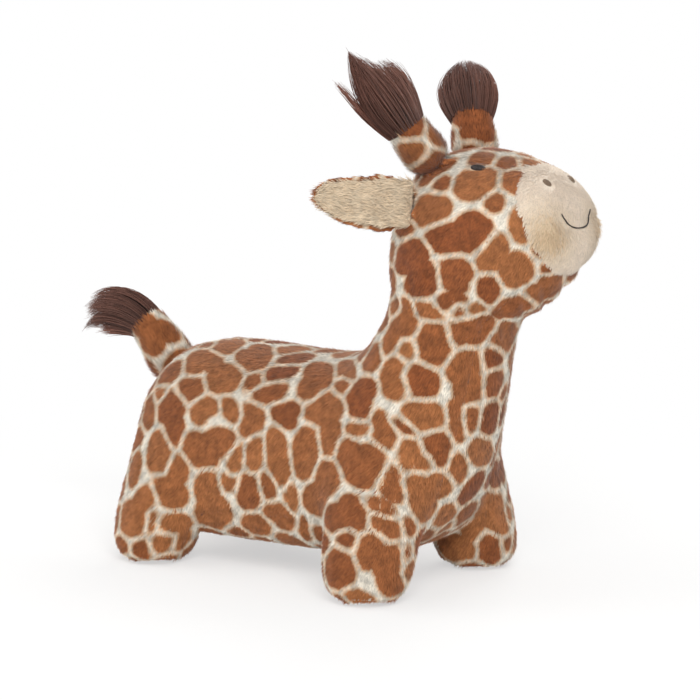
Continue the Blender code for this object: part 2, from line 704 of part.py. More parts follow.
def make_sleeve(name, middle, way, ball, length, end):
    """A cloth sleeve on a ball root with its filling. Returns the turn along its way."""
    print_cloth = material("print_plush", PRINT_COLOUR)
    filling = material("fibre_filling", (0.85, 0.85, 0.83))
    place = Matrix.Translation(middle) @ frame_along(way)
    outer = sleeve_profile(ball, length, end)
    inner = shrunk(outer, SLEEVE)
    turned(name + "_cover", outer + inner[::-1], place, print_cloth, pivot=middle, sides=SLEEVE_SIDES)
    core = shrunk(outer, SLEEVE + CLEARANCE)
    top = length - TUFT_PLUG - 2 * CLEARANCE
    core = [point for point in core if point[1] < top] + [(end - SLEEVE - CLEARANCE, top), (0.0, top)]
    turned(name + "_filling", core, place, filling, pivot=middle, sides=SLEEVE_SIDES)
    return place


def swelling(share, root, widest):
    """Radius along a tuft: from its root to its widest, then down to its tip."""
    rise = math.sin(math.pi * min(1.0, share / TUFT_WIDEST) / 2)
    fall = math.cos(math.pi * max(0.0, (share - TUFT_WIDEST) / (1 - TUFT_WIDEST)) / 2)
    return TUFT_TIP + (root + (widest - root) * rise - TUFT_TIP) * fall


def make_horn(surface, cloth, side):
    middle = ball_root(surface, HORN_AIM_FROM, mirrored(HORN_AIM, side), HORN_BALL)
    way = mirrored(HORN_WAY, side)
    name = "horn_" + side
    place = make_sleeve(name, middle, way, HORN_BALL, HORN_LENGTH, HORN_END_RADIUS)
    recess(cloth, "horn_recess_" + side, middle, HORN_BALL, ("crown_gusset", "head_side_" + side))
    bound = HORN_END_RADIUS - SLEEVE - CLEARANCE
    foot = HORN_LENGTH + CLEARANCE
    profile = [(0.0, HORN_LENGTH - TUFT_PLUG), (bound, HORN_LENGTH - TUFT_PLUG), (bound, foot)]
    for step in range(TUFT_STEPS + 1):
        share = step / TUFT_STEPS
        radius = swelling(share, HORN_END_RADIUS, HORN_TUFT_RADIUS)
        profile.append((radius, foot + HORN_TUFT_LENGTH * share))
    profile.append((0.0, foot + HORN_TUFT_LENGTH))
    dark = material("dark_pile", TUFT_COLOUR)
    turned(name + "_tuft", profile, place, dark, pivot=middle, sides=SLEEVE_SIDES)


def recess(cloth, name, middle, ball, pieces):
    """A round seat for a ball root, cut in the outside of the pieces of cloth that it meets."""
    bm = bmesh.new()
    place = Matrix.Translation(middle)
    bmesh.ops.create_icosphere(bm, subdivisions=3, radius=ball + 2 * CLEARANCE, matrix=place)
    cutter = solid_from_bmesh(name, bm, None)
    for piece in pieces:
        boolean(cloth[piece], cutter)


def make_tail(surface, cloth):
    middle = ball_root(surface, TAIL_AIM_FROM, TAIL_AIM, TAIL_BALL)
    place = make_sleeve("tail", middle, TAIL_WAY, TAIL_BALL, TAIL_LENGTH, TAIL_END_RADIUS)
    recess(cloth, "tail_recess", middle, TAIL_BALL, ("flank_panel_right", "flank_panel_left"))
    bound = TAIL_END_RADIUS - SLEEVE - CLEARANCE
    turn = place.to_3x3()
    rings = []
    for height in (TAIL_LENGTH - TUFT_PLUG, TAIL_LENGTH):
        rings.append(ring_round(place @ Vector((0.0, 0.0, height)), turn, bound))
    end = place @ Vector((0.0, 0.0, TAIL_LENGTH + CLEARANCE))
    droop = math.radians(TUFT_DROOP)
    arc = TAIL_TUFT_LENGTH / droop
    for step in range(TUFT_STEPS + 1):
        share = step / TUFT_STEPS
        bend = droop * share
        centre = end + turn @ Vector((math.cos(bend) - 1, 0.0, math.sin(bend))) * arc
        lean = Matrix.Rotation(-bend, 3, "Y") @ turn
        rings.append(ring_round(centre, lean, swelling(share, TAIL_END_RADIUS, TAIL_TUFT_RADIUS)))
    lofted("tail_tuft", rings, material("dark_pile", TUFT_COLOUR), pivot=middle)


def ring_round(centre, turn, radius, sides=SLEEVE_SIDES):
    for step in range(sides):
        angle = math.tau * step / sides
        yield centre + turn @ Vector((radius * math.cos(angle), radius * math.sin(angle), 0.0))


def ear_half_width(share):
    """Half width along an ear: pinched at the root, full in its first half, round at the tip."""
    part = max(0.0, share - EAR_ROOT_SHARE) / (1 - EAR_ROOT_SHARE)
    leaf = max(0.0, math.sin(math.pi * part**EAR_WIDEST)) ** EAR_FULLNESS
    return max(EAR_ROOT_HALF_WIDTH * (1 - share) ** 2, EAR_HALF_WIDTH * leaf, EAR_TIP_HALF_WIDTH)


def ear_grid(axes, root, shares, columns, lift, thick):
    """Points of one face of an ear layer: a cupped leaf, raised by its thickness towards its middle."""
    along, across, out = axes
    grid = []
    for share in shares:
        half = ear_half_width(share)
        row = []
        for part in columns:
            cup = EAR_CUP * part**2 * math.sin(math.pi / 2 * share)
            swell = (1 - (part / columns[-1]) ** 2) ** 0.5 * math.sin(math.pi * share)
            rise = lift + cup + thick * (EAR_EDGE + (1 - EAR_EDGE) * swell)
            row.append(root + along * EAR_LENGTH * share + across * half * part + out * rise)
        grid.append(row)
    return grid


def round_bar(radius, half, soft=0.0):
    """Profile of a straight roll, with its ends softened."""
    rising = [(0.0, -half), (radius - soft, -half), (radius, soft - half)]
    return rising + [(a, -b) for a, b in reversed(rising)]


def make_ear(surface, cloth, side):
    place = surface.seat(EAR_AIM_FROM, mirrored(EAR_AIM, side))
    root = place + surface.soft_normal(place) * (EAR_ROLL - EAR_ROLL_DEPTH)
    along = mirrored(EAR_WAY, side).normalized()
    face = mirrored(EAR_FACE, side)
    out = (face - along * face.dot(along)).normalized()
    across = along.cross(out).normalized()
    axes = (along, across, out)
    front = ear_grid(axes, root, EAR_ROWS, EAR_COLUMNS, 0.0, 0.0)
    back = ear_grid(axes, root, EAR_ROWS, EAR_COLUMNS, 0.0, -EAR_ROLL)
    print_cloth = material("print_plush", PRINT_COLOUR)
    shell = slab("ear_shell_" + side, front, back, print_cloth, root)
    turn = Matrix.Translation(root) @ Matrix((out, along, across)).transposed().to_4x4()
    roll = round_bar(EAR_ROLL, EAR_ROOT_HALF_WIDTH, EAR_ROLL / 4)
    boolean(shell, turned("ear_roll_" + side, roll, turn), "UNION")
    groove = round_bar(EAR_ROLL + 2 * CLEARANCE, EAR_ROOT_HALF_WIDTH + 2 * CLEARANCE)
    boolean(cloth["head_side_" + side], turned("ear_groove_" + side, groove, turn))
    rows, columns = EAR_ROWS[2:-1], EAR_COLUMNS[1:-1]
    low = ear_grid(axes, root, rows, columns, CLEARANCE, 0.0)
    high = ear_grid(axes, root, rows, columns, CLEARANCE, EAR_LINING_THICK)
    slab("ear_lining_" + side, high, low, material("cream_plush", CREAM_COLOUR), root)


def stitched_patch(surface, name, start, aim, size, thick, finish):
    """A small oval of satin stitch that lies on the cloth."""
    place = surface.seat(start, aim)
    out = surface.soft_normal(place)
    along = Vector((1.0, 0.0, 0.0))
    along = (along - out * along.dot(out)).normalized()
    across = out.cross(along)
    rings = []
    for scale, height in ((1.0, 0.0), (1.0, thick / 2), (STITCH_CROWN, thick)):
        ring = []
        for step in range(STITCH_SIDES):
            angle = math.tau * step / STITCH_SIDES
            x, y = math.cos(angle) * size[0] * scale, math.sin(angle) * size[1] * scale
            over = place + along * x + across * y + out * COVER
            hit, _, _, _ = surface.tree.ray_cast(over, -out)
            ring.append(hit + out * (height + 2 * CLEARANCE))
        rings.append(ring)
    lofted(name, rings, finish)


def make_mouth(surface):
    """A smile of thick thread laid along the muzzle."""
    path = []
    for step in range(MOUTH_STEPS + 1):
        part = 2 * step / MOUTH_STEPS - 1
        turn = math.radians(MOUTH_TURN * part)
        rise = math.radians(MOUTH_DIP + (MOUTH_RISE - MOUTH_DIP) * part * part)
        way = Vector((math.cos(turn) * math.cos(rise), math.sin(turn) * math.cos(rise), math.sin(rise)))
        place = surface.seat(MOUTH_AIM_FROM, way)
        path.append(place + surface.soft_normal(place) * (MOUTH_RADIUS + 2 * CLEARANCE))
    rings = []
    for i, centre in enumerate(path):
        along = path[min(i + 1, MOUTH_STEPS)] - path[max(i - 1, 0)]
        turn = frame_along(along, (0.0, 0.0, 1.0)).to_3x3()
        rings.append(ring_round(centre, turn, MOUTH_RADIUS, MOUTH_SIDES))
    lofted("mouth_stitch", rings, material("dark_thread", THREAD_COLOUR))


def make_face(surface):
    thread = material("dark_thread", THREAD_COLOUR)
    taupe = material("taupe_thread", (0.30, 0.20, 0.14))
    for side in ("right", "left"):
        aim, name = mirrored(EYE_AIM, side), "eye_" + side
        stitched_patch(surface, name, EYE_AIM_FROM, aim, EYE_SIZE, EYE_THICK, thread)
        aim, name = mirrored(NOSTRIL_AIM, side), "nostril_" + side
        stitched_patch(surface, name, NOSTRIL_AIM_FROM, aim, NOSTRIL_SIZE, NOSTRIL_THICK, taupe)
    make_mouth(surface)


def main():
    clear_scene()
    surface = Surface()
    cloth = make_cover(surface)
    make_bladder(surface)
    make_valve()
    make_zip(cloth)
    make_tail(surface, cloth)
    for side in ("right", "left"):
        make_horn(surface, cloth, side)
        make_ear(surface, cloth, side)
    make_face(surface)


main()
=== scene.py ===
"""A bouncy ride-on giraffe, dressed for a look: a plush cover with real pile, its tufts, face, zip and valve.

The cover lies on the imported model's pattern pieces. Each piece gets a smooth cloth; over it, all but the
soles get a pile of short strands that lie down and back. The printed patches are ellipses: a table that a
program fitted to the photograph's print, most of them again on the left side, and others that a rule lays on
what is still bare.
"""
import json
import logging
import math
from collections.abc import Callable
from dataclasses import dataclass, field
from enum import Enum

import bmesh
import bpy
import numpy as np
from mathutils import Matrix, Vector
from mathutils.bvhtree import BVHTree
from mathutils.kdtree import KDTree

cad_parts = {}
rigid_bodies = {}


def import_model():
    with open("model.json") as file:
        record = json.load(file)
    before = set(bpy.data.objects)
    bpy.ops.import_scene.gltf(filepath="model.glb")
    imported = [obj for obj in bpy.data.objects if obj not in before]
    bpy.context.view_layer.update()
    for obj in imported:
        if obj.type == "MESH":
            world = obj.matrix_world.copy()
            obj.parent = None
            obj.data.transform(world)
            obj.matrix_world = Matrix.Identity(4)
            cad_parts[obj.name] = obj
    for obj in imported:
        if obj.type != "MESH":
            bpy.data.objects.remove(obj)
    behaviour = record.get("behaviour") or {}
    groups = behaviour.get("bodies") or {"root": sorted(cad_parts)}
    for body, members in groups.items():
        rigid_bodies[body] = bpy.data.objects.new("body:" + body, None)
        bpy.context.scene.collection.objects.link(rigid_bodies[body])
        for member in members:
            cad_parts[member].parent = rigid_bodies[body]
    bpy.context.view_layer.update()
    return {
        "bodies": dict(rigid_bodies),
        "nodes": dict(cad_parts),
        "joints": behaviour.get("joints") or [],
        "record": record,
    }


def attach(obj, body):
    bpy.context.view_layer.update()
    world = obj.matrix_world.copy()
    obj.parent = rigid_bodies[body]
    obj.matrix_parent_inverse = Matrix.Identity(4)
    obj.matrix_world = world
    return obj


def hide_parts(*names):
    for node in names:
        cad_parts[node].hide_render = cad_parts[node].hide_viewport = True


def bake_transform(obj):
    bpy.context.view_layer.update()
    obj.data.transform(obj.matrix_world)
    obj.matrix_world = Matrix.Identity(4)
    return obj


log = logging.getLogger("giraffe")

MM = 0.001
CLOTH_INSET = 3.4 * MM  # the cloth lies this far under the tips of its pile
LAY_WAY = (-0.50, 0.0, -0.85)  # the pile lies down and back
COLOURS = {"data_type": "RGBA"}  # makes a mixing node mix two colours
SOFT = {"interpolation_type": "SMOOTHSTEP"}  # makes a map start and end gently
MOST_NOISE = (0.3, 0.7)  # nearly all of a noise lies between these


class Side(Enum):
    """The two sides of the animal, with the sign of Y."""

    RIGHT = -1
    LEFT = 1

    @property
    def word(self) -> str:
        """The side as it stands in the names of nodes."""
        return self.name.lower()


def linear(colour: str) -> tuple[float, float, float, float]:
    """Turns an sRGB hex value into linear light.

    Args:
        colour: six hex digits.

    Returns:
        Red, green, blue and an alpha of one.
    """
    values = [int(colour[i : i + 2], 16) / 255 for i in (0, 2, 4)]
    red, green, blue = (v / 12.92 if v <= 0.04045 else ((v + 0.055) / 1.055) ** 2.4 for v in values)
    return red, green, blue, 1.0


def add_node(tree: bpy.types.NodeTree, kind: str, inputs: dict | tuple = (), **settings) -> bpy.types.Node:
    """Adds a node with its settings and links.

    Args:
        tree: the node tree.
        kind: Blender's name of the node type.
        inputs: values, output sockets or nodes, which stand for their first output. They go to named or
            numbered inputs, or in a row to the first ones.
        settings: properties of the node.

    Returns:
        The new node.
    """
    node = tree.nodes.new(kind)
    for name, value in settings.items():
        setattr(node, name, value)
    given = inputs if isinstance(inputs, dict) else dict(enumerate(inputs))
    for socket, value in given.items():
        if isinstance(value, bpy.types.Node):
            value = value.outputs[0]
        if isinstance(value, bpy.types.NodeSocket):
            tree.links.new(value, node.inputs[socket])
        else:
            node.inputs[socket].default_value = value
    return node


@dataclass
class Surface:
    """A material as it is built: its tree, with a shader that is joined to its output."""

    made: bpy.types.Material
    tree: bpy.types.NodeTree
    shader: bpy.types.Node

    @classmethod
    def start(cls, name: str, looks: dict) -> "Surface":
        """Makes a material.

        Args:
            name: the material's name.
            looks: values for the shader's inputs.

        Returns:
            The surface.
        """
        made = bpy.data.materials.new(name)
        made.use_nodes = True
        made.node_tree.nodes.clear()
        shader = add_node(made.node_tree, "ShaderNodeBsdfPrincipled", looks)
        add_node(made.node_tree, "ShaderNodeOutputMaterial", {"Surface": shader})
        return cls(made, made.node_tree, shader)

    def noise(self, scale: float, detail: float) -> bpy.types.NodeSocket:
        """A noise that lies fast on the object."""
        place = add_node(self.tree, "ShaderNodeTexCoord").outputs["Object"]
        inputs = {"Vector": place, "Scale": scale, "Detail": detail}
        return add_node(self.tree, "ShaderNodeTexNoise", inputs).outputs["Fac"]

    def colour(self, colour: object, tone: object) -> None:
        """Gives the shader a colour that is multiplied with a tone."""
        inputs = {0: 1.0, 6: colour, 7: tone}
        lit = add_node(self.tree, "ShaderNodeMix", inputs, blend_type="MULTIPLY", **COLOURS)
        self.tree.links.new(lit.outputs[2], self.shader.inputs["Base Color"])

    def tint(self, colour: str, texture: bpy.types.NodeSocket, low: float, high: float) -> None:
        """Gives the shader a colour that a noise darkens to low and lightens to high."""
        tone = add_node(self.tree, "ShaderNodeMapRange", (texture, *MOST_NOISE, low, high))
        self.colour(linear(colour), tone)

    def raise_up(self, height: bpy.types.NodeSocket, strength: float, distance: float) -> None:
        """Gives the surface a relief."""
        inputs = {"Height": height, "Strength": strength, "Distance": distance}
        bump = add_node(self.tree, "ShaderNodeBump", inputs)
        self.tree.links.new(bump.outputs["Normal"], self.shader.inputs["Normal"])


@dataclass(frozen=True)
class Pile:
    """Polyester pile cloth, knitted and sheared: soft and matt, with a faint sheen where it turns away.

    The strands are lighter at their tips, because less light reaches their roots.
    """

    name: str
    slot: str
    ground: str
    patch: str
    patch_deep: str
    halo: str  # the ground's colour close to a patch, where the print has bled
    root_shade: float = 0.62
    spread: float = 0.22  # how much one strand differs from the next
    sheen: float = 0.25
    tuft_shade: float = 0.10  # how much the streaks darken: painted shade in dark streaks where tufts of the pile meet, and a third as much painted light in the light ones
    streaks: float = 110.0  # noise scale of the streaks, which lie about 9 mm apart
    streak_band: tuple[float, float] = (0.34, 0.62)  # of the noise, from a dark streak to a light one
    lit: float = 0.8  # share of a strand's length from which no light is lost
    bleed: tuple[float, float] = (-4.5, -0.4)  # mm inside the patch where the ground turns to the halo
    edge: float = 0.9  # half width of a patch's soft edge, in mm

    def build(self) -> bpy.types.Material:
        """Builds the material."""
        looks = {"Roughness": 0.78, "Specular IOR Level": 0.25, "Sheen Roughness": 0.5}
        surface = Surface.start(self.name, {"Sheen Weight": self.sheen, **looks})
        tree = surface.tree
        patch, shade, along, toss = (
            add_node(tree, "ShaderNodeAttribute", attribute_name=name).outputs["Fac"]
            for name in ("patch", "shade", "along", "toss")
        )
        rim, inside = (
            add_node(tree, "ShaderNodeMapRange", (patch, low, high, 0.0, 1.0), **SOFT)
            for low, high in (self.bleed, (-self.edge, self.edge))
        )
        brown = {0: shade, 6: linear(self.patch), 7: linear(self.patch_deep)}
        pale = {0: rim, 6: linear(self.ground), 7: linear(self.halo)}
        deep, ground = (add_node(tree, "ShaderNodeMix", mix, **COLOURS).outputs[2] for mix in (brown, pale))
        colour = add_node(tree, "ShaderNodeMix", {0: inside, 6: ground, 7: deep}, **COLOURS)
        light = add_node(tree, "ShaderNodeMapRange", (along, 0.0, self.lit, self.root_shade, 1.0))
        # Painted shade and light: streaks darker between the pile's tufts, lighter on them.
        streaks = surface.noise(self.streaks, detail=3.0)
        differences = (
            (toss, 0.0, 1.0, 1.0 - self.spread, 1.0 + self.spread / 2),
            (streaks, *self.streak_band, 1.0 - self.tuft_shade, 1.0 + self.tuft_shade / 3),
        )
        for difference in differences:
            factor = add_node(tree, "ShaderNodeMapRange", difference)
            light = add_node(tree, "ShaderNodeMath", (light, factor), operation="MULTIPLY")
        surface.colour(colour.outputs[2], light)
        return surface.made


PRINT_PILE = Pile("printed_plush", "print_plush", "FFF7E8", "C07C4A", "A0592F", "E8C29C", tuft_shade=0.27)
CREAM_PILE = Pile(
    "cream_long_pile", "cream_plush", *["F1DDC0"] * 4, root_shade=0.74, spread=0.20, tuft_shade=0.14
)
MUZZLE_PILE = Pile(
    *("beige_muzzle_pile", "cream_plush", "F4E4D1", "E0C8A8", "D8BE9C", "E9D7BF"),
    root_shade=0.78, spread=0.12, tuft_shade=0.05,
)
DARK_PILE = Pile("dark_brown_tuft", "dark_pile", *["885C4E"] * 4, root_shade=0.36, spread=0.62, sheen=0.10)


@dataclass(frozen=True)
class Thread:
    """Rayon embroidery thread in satin stitch: fine parallel threads with a soft gloss along them."""

    name: str
    slot: str
    colour: str
    gloss: float = 0.38
    fibre: float = 0.4 * MM  # length of its light and dark flecks
    tones: tuple[float, float] = (0.7, 1.15)  # of the dark and the light flecks

    def build(self) -> bpy.types.Material:
        """Builds the material."""
        surface = Surface.start(self.name, {"Roughness": self.gloss})
        surface.tint(self.colour, surface.noise(1 / self.fibre, detail=2.0), *self.tones)
        return surface.made


DARK_THREAD = Thread("dark_satin_thread", "dark_thread", "2E2320")
TAUPE_THREAD = Thread("taupe_satin_thread", "taupe_thread", "8C7762", 0.55)


@dataclass(frozen=True)
class Moulded:
    """A moulded or cast part with a fine grain: what it is, its colour, how rough, and if it is metal."""

    name: str
    colour: str
    roughness: float
    metallic: float = 0.0
    grain: float = 0.6 * MM  # size of the grain
    relief: float = 0.03 * MM
    wear: float = 60.0  # noise scale of its worn places, which are about 17 mm across
    tones: tuple[float, float] = (0.86, 1.08)  # of the darkest and the lightest places
    uneven: tuple[float, float] = (-0.06, 0.08)  # how much smoother or rougher it is there

    def build(self) -> bpy.types.Material:
        """Builds the material."""
        surface = Surface.start(self.name, {"Metallic": self.metallic})
        tree, grain = surface.tree, surface.noise(1 / self.grain, detail=4.0)
        wear = surface.noise(self.wear, detail=5.0)
        surface.tint(self.colour, wear, *self.tones)
        reach = (wear, *MOST_NOISE, *(self.roughness + change for change in self.uneven))
        rough = add_node(tree, "ShaderNodeMapRange", reach)
        tree.links.new(rough.outputs[0], surface.shader.inputs["Roughness"])
        surface.raise_up(grain, strength=0.5, distance=self.relief)
        return surface.made


BLADDER_RUBBER = Moulded("moulded_pvc_rubber", "CFC8B8", 0.48, grain=2.0 * MM, relief=0.05 * MM)
VALVE_RUBBER = Moulded("soft_valve_rubber", "4A4A4C", 0.45)
ZIP_PLASTIC = Moulded("acetal_zip_stop", "5A3A26", 0.38)
ZIP_METAL = Moulded("antique_brass_die_casting", "A98D62", 0.34, metallic=1.0, grain=0.4 * MM)


@dataclass(frozen=True)
class TwillTape:
    """Woven polyester zip tape: a fine twill, with its slanting ribs about 1.1 mm apart."""

    name: str = "twill_zip_tape"
    colour: str = "7A4526"
    rib: float = 0.8 * MM  # from one rib to the next if they were straight. Slanting, it is 1.4 times as far
    tones: tuple[float, float] = (0.72, 1.1)  # painted shade between the ribs and painted light on them
    relief: float = 0.1 * MM
    own_waves: float = 20.0  # radians of straight bands over a metre at a scale of 1

    def build(self) -> bpy.types.Material:
        """Builds the material."""
        surface = Surface.start(self.name, {"Roughness": 0.85})
        tree, place = surface.tree, add_node(surface.tree, "ShaderNodeTexCoord").outputs["Object"]
        wave = {"Vector": place, "Scale": 1 / self.rib / self.own_waves * math.tau, "Distortion": 0.4}
        ribs = add_node(tree, "ShaderNodeTexWave", wave, bands_direction="DIAGONAL").outputs["Fac"]
        # Painted shade between the ribs and painted light on them, over the ribs' bump.
        tone = add_node(tree, "ShaderNodeMapRange", (ribs, 0.0, 1.0, *self.tones))
        surface.colour(linear(self.colour), tone)
        surface.raise_up(ribs, strength=0.6, distance=self.relief)
        return surface.made


def mesh_from(name: str, points: np.ndarray, faces: list) -> bpy.types.Mesh:
    """Makes a smooth mesh.

    Args:
        name: the mesh's name.
        points: one row of X, Y and Z for each point.
        faces: the point numbers of each face.

    Returns:
        The mesh.
    """
    mesh = bpy.data.meshes.new(name)
    mesh.from_pydata(np.asarray(points).tolist(), [], [list(map(int, f)) for f in faces])
    mesh.shade_smooth()
    return mesh


def place_object(name: str, mesh: bpy.types.Mesh) -> bpy.types.Object:
    """Links a new object at the origin."""
    made = bpy.data.objects.new(name, mesh)
    bpy.context.scene.collection.objects.link(made)
    return made


def evaluated(made: bpy.types.Object) -> bpy.types.Mesh:
    """The plain mesh that an object's modifiers give."""
    return bpy.data.meshes.new_from_object(made.evaluated_get(bpy.context.evaluated_depsgraph_get()))


def points_of(mesh: bpy.types.Mesh) -> np.ndarray:
    """The points of a mesh as rows."""
    flat = np.empty(len(mesh.vertices) * 3)
    mesh.vertices.foreach_get("co", flat)
    return flat.reshape(-1, 3)


def normals_of(mesh: bpy.types.Mesh) -> np.ndarray:
    """The way out at each point of a mesh."""
    flat = np.empty(len(mesh.vertices) * 3)
    mesh.vertex_normals.foreach_get("vector", flat)
    return flat.reshape(-1, 3)


def move_points(mesh: bpy.types.Mesh, points: np.ndarray) -> None:
    """Gives a mesh new places for its points."""
    mesh.vertices.foreach_set("co", points.astype(np.float32).ravel())
    mesh.update()


def store(mesh: bpy.types.Mesh, name: str, values: np.ndarray) -> None:
    """Keeps a value, or a vector, for each point of a mesh."""
    vector = values.ndim == 2
    kept = mesh.attributes.new(name, "FLOAT_VECTOR" if vector else "FLOAT", "POINT")
    kept.data.foreach_set("vector" if vector else "value", values.astype(np.float32).ravel())


def values_of(mesh: bpy.types.Mesh, name: str) -> np.ndarray:
    """The values that a mesh keeps for its points."""
    values = np.empty(len(mesh.vertices))
    mesh.attributes[name].data.foreach_get("value", values)
    return values


def rewrite(mesh: bpy.types.Mesh, name: str, values: np.ndarray) -> None:
    """Replaces the values that a mesh keeps for its points."""
    mesh.attributes[name].data.foreach_set("value", values.astype(np.float32))


def unit(rows: np.ndarray) -> np.ndarray:
    """Rows of length one."""
    return rows / np.maximum(1e-9, np.linalg.norm(rows, axis=1, keepdims=True))


def along_surface(normals: np.ndarray, way: tuple[float, float, float]) -> np.ndarray:
    """The part of a way that lies in the surface, as rows of length one."""
    way = np.asarray(way, float)
    return unit(way - normals * (normals @ way)[:, None])


def ramp(values: np.ndarray, start: float, length: float) -> np.ndarray:
    """Climbs from 0 at start to 1 over a length."""
    return np.clip((values - start) / length, 0.0, 1.0)


def point_tree(points: np.ndarray) -> KDTree:
    """Sorts points, to find the one that is nearest to a place."""
    tree = KDTree(len(points))
    for number, point in enumerate(points):
        tree.insert(point, number)
    tree.balance()
    return tree


def surface_tree(mesh: bpy.types.Mesh) -> BVHTree:
    """Sorts the faces of a mesh, to find the place on them that is nearest to another."""
    return BVHTree.FromPolygons([v.co for v in mesh.vertices], [p.vertices for p in mesh.polygons])


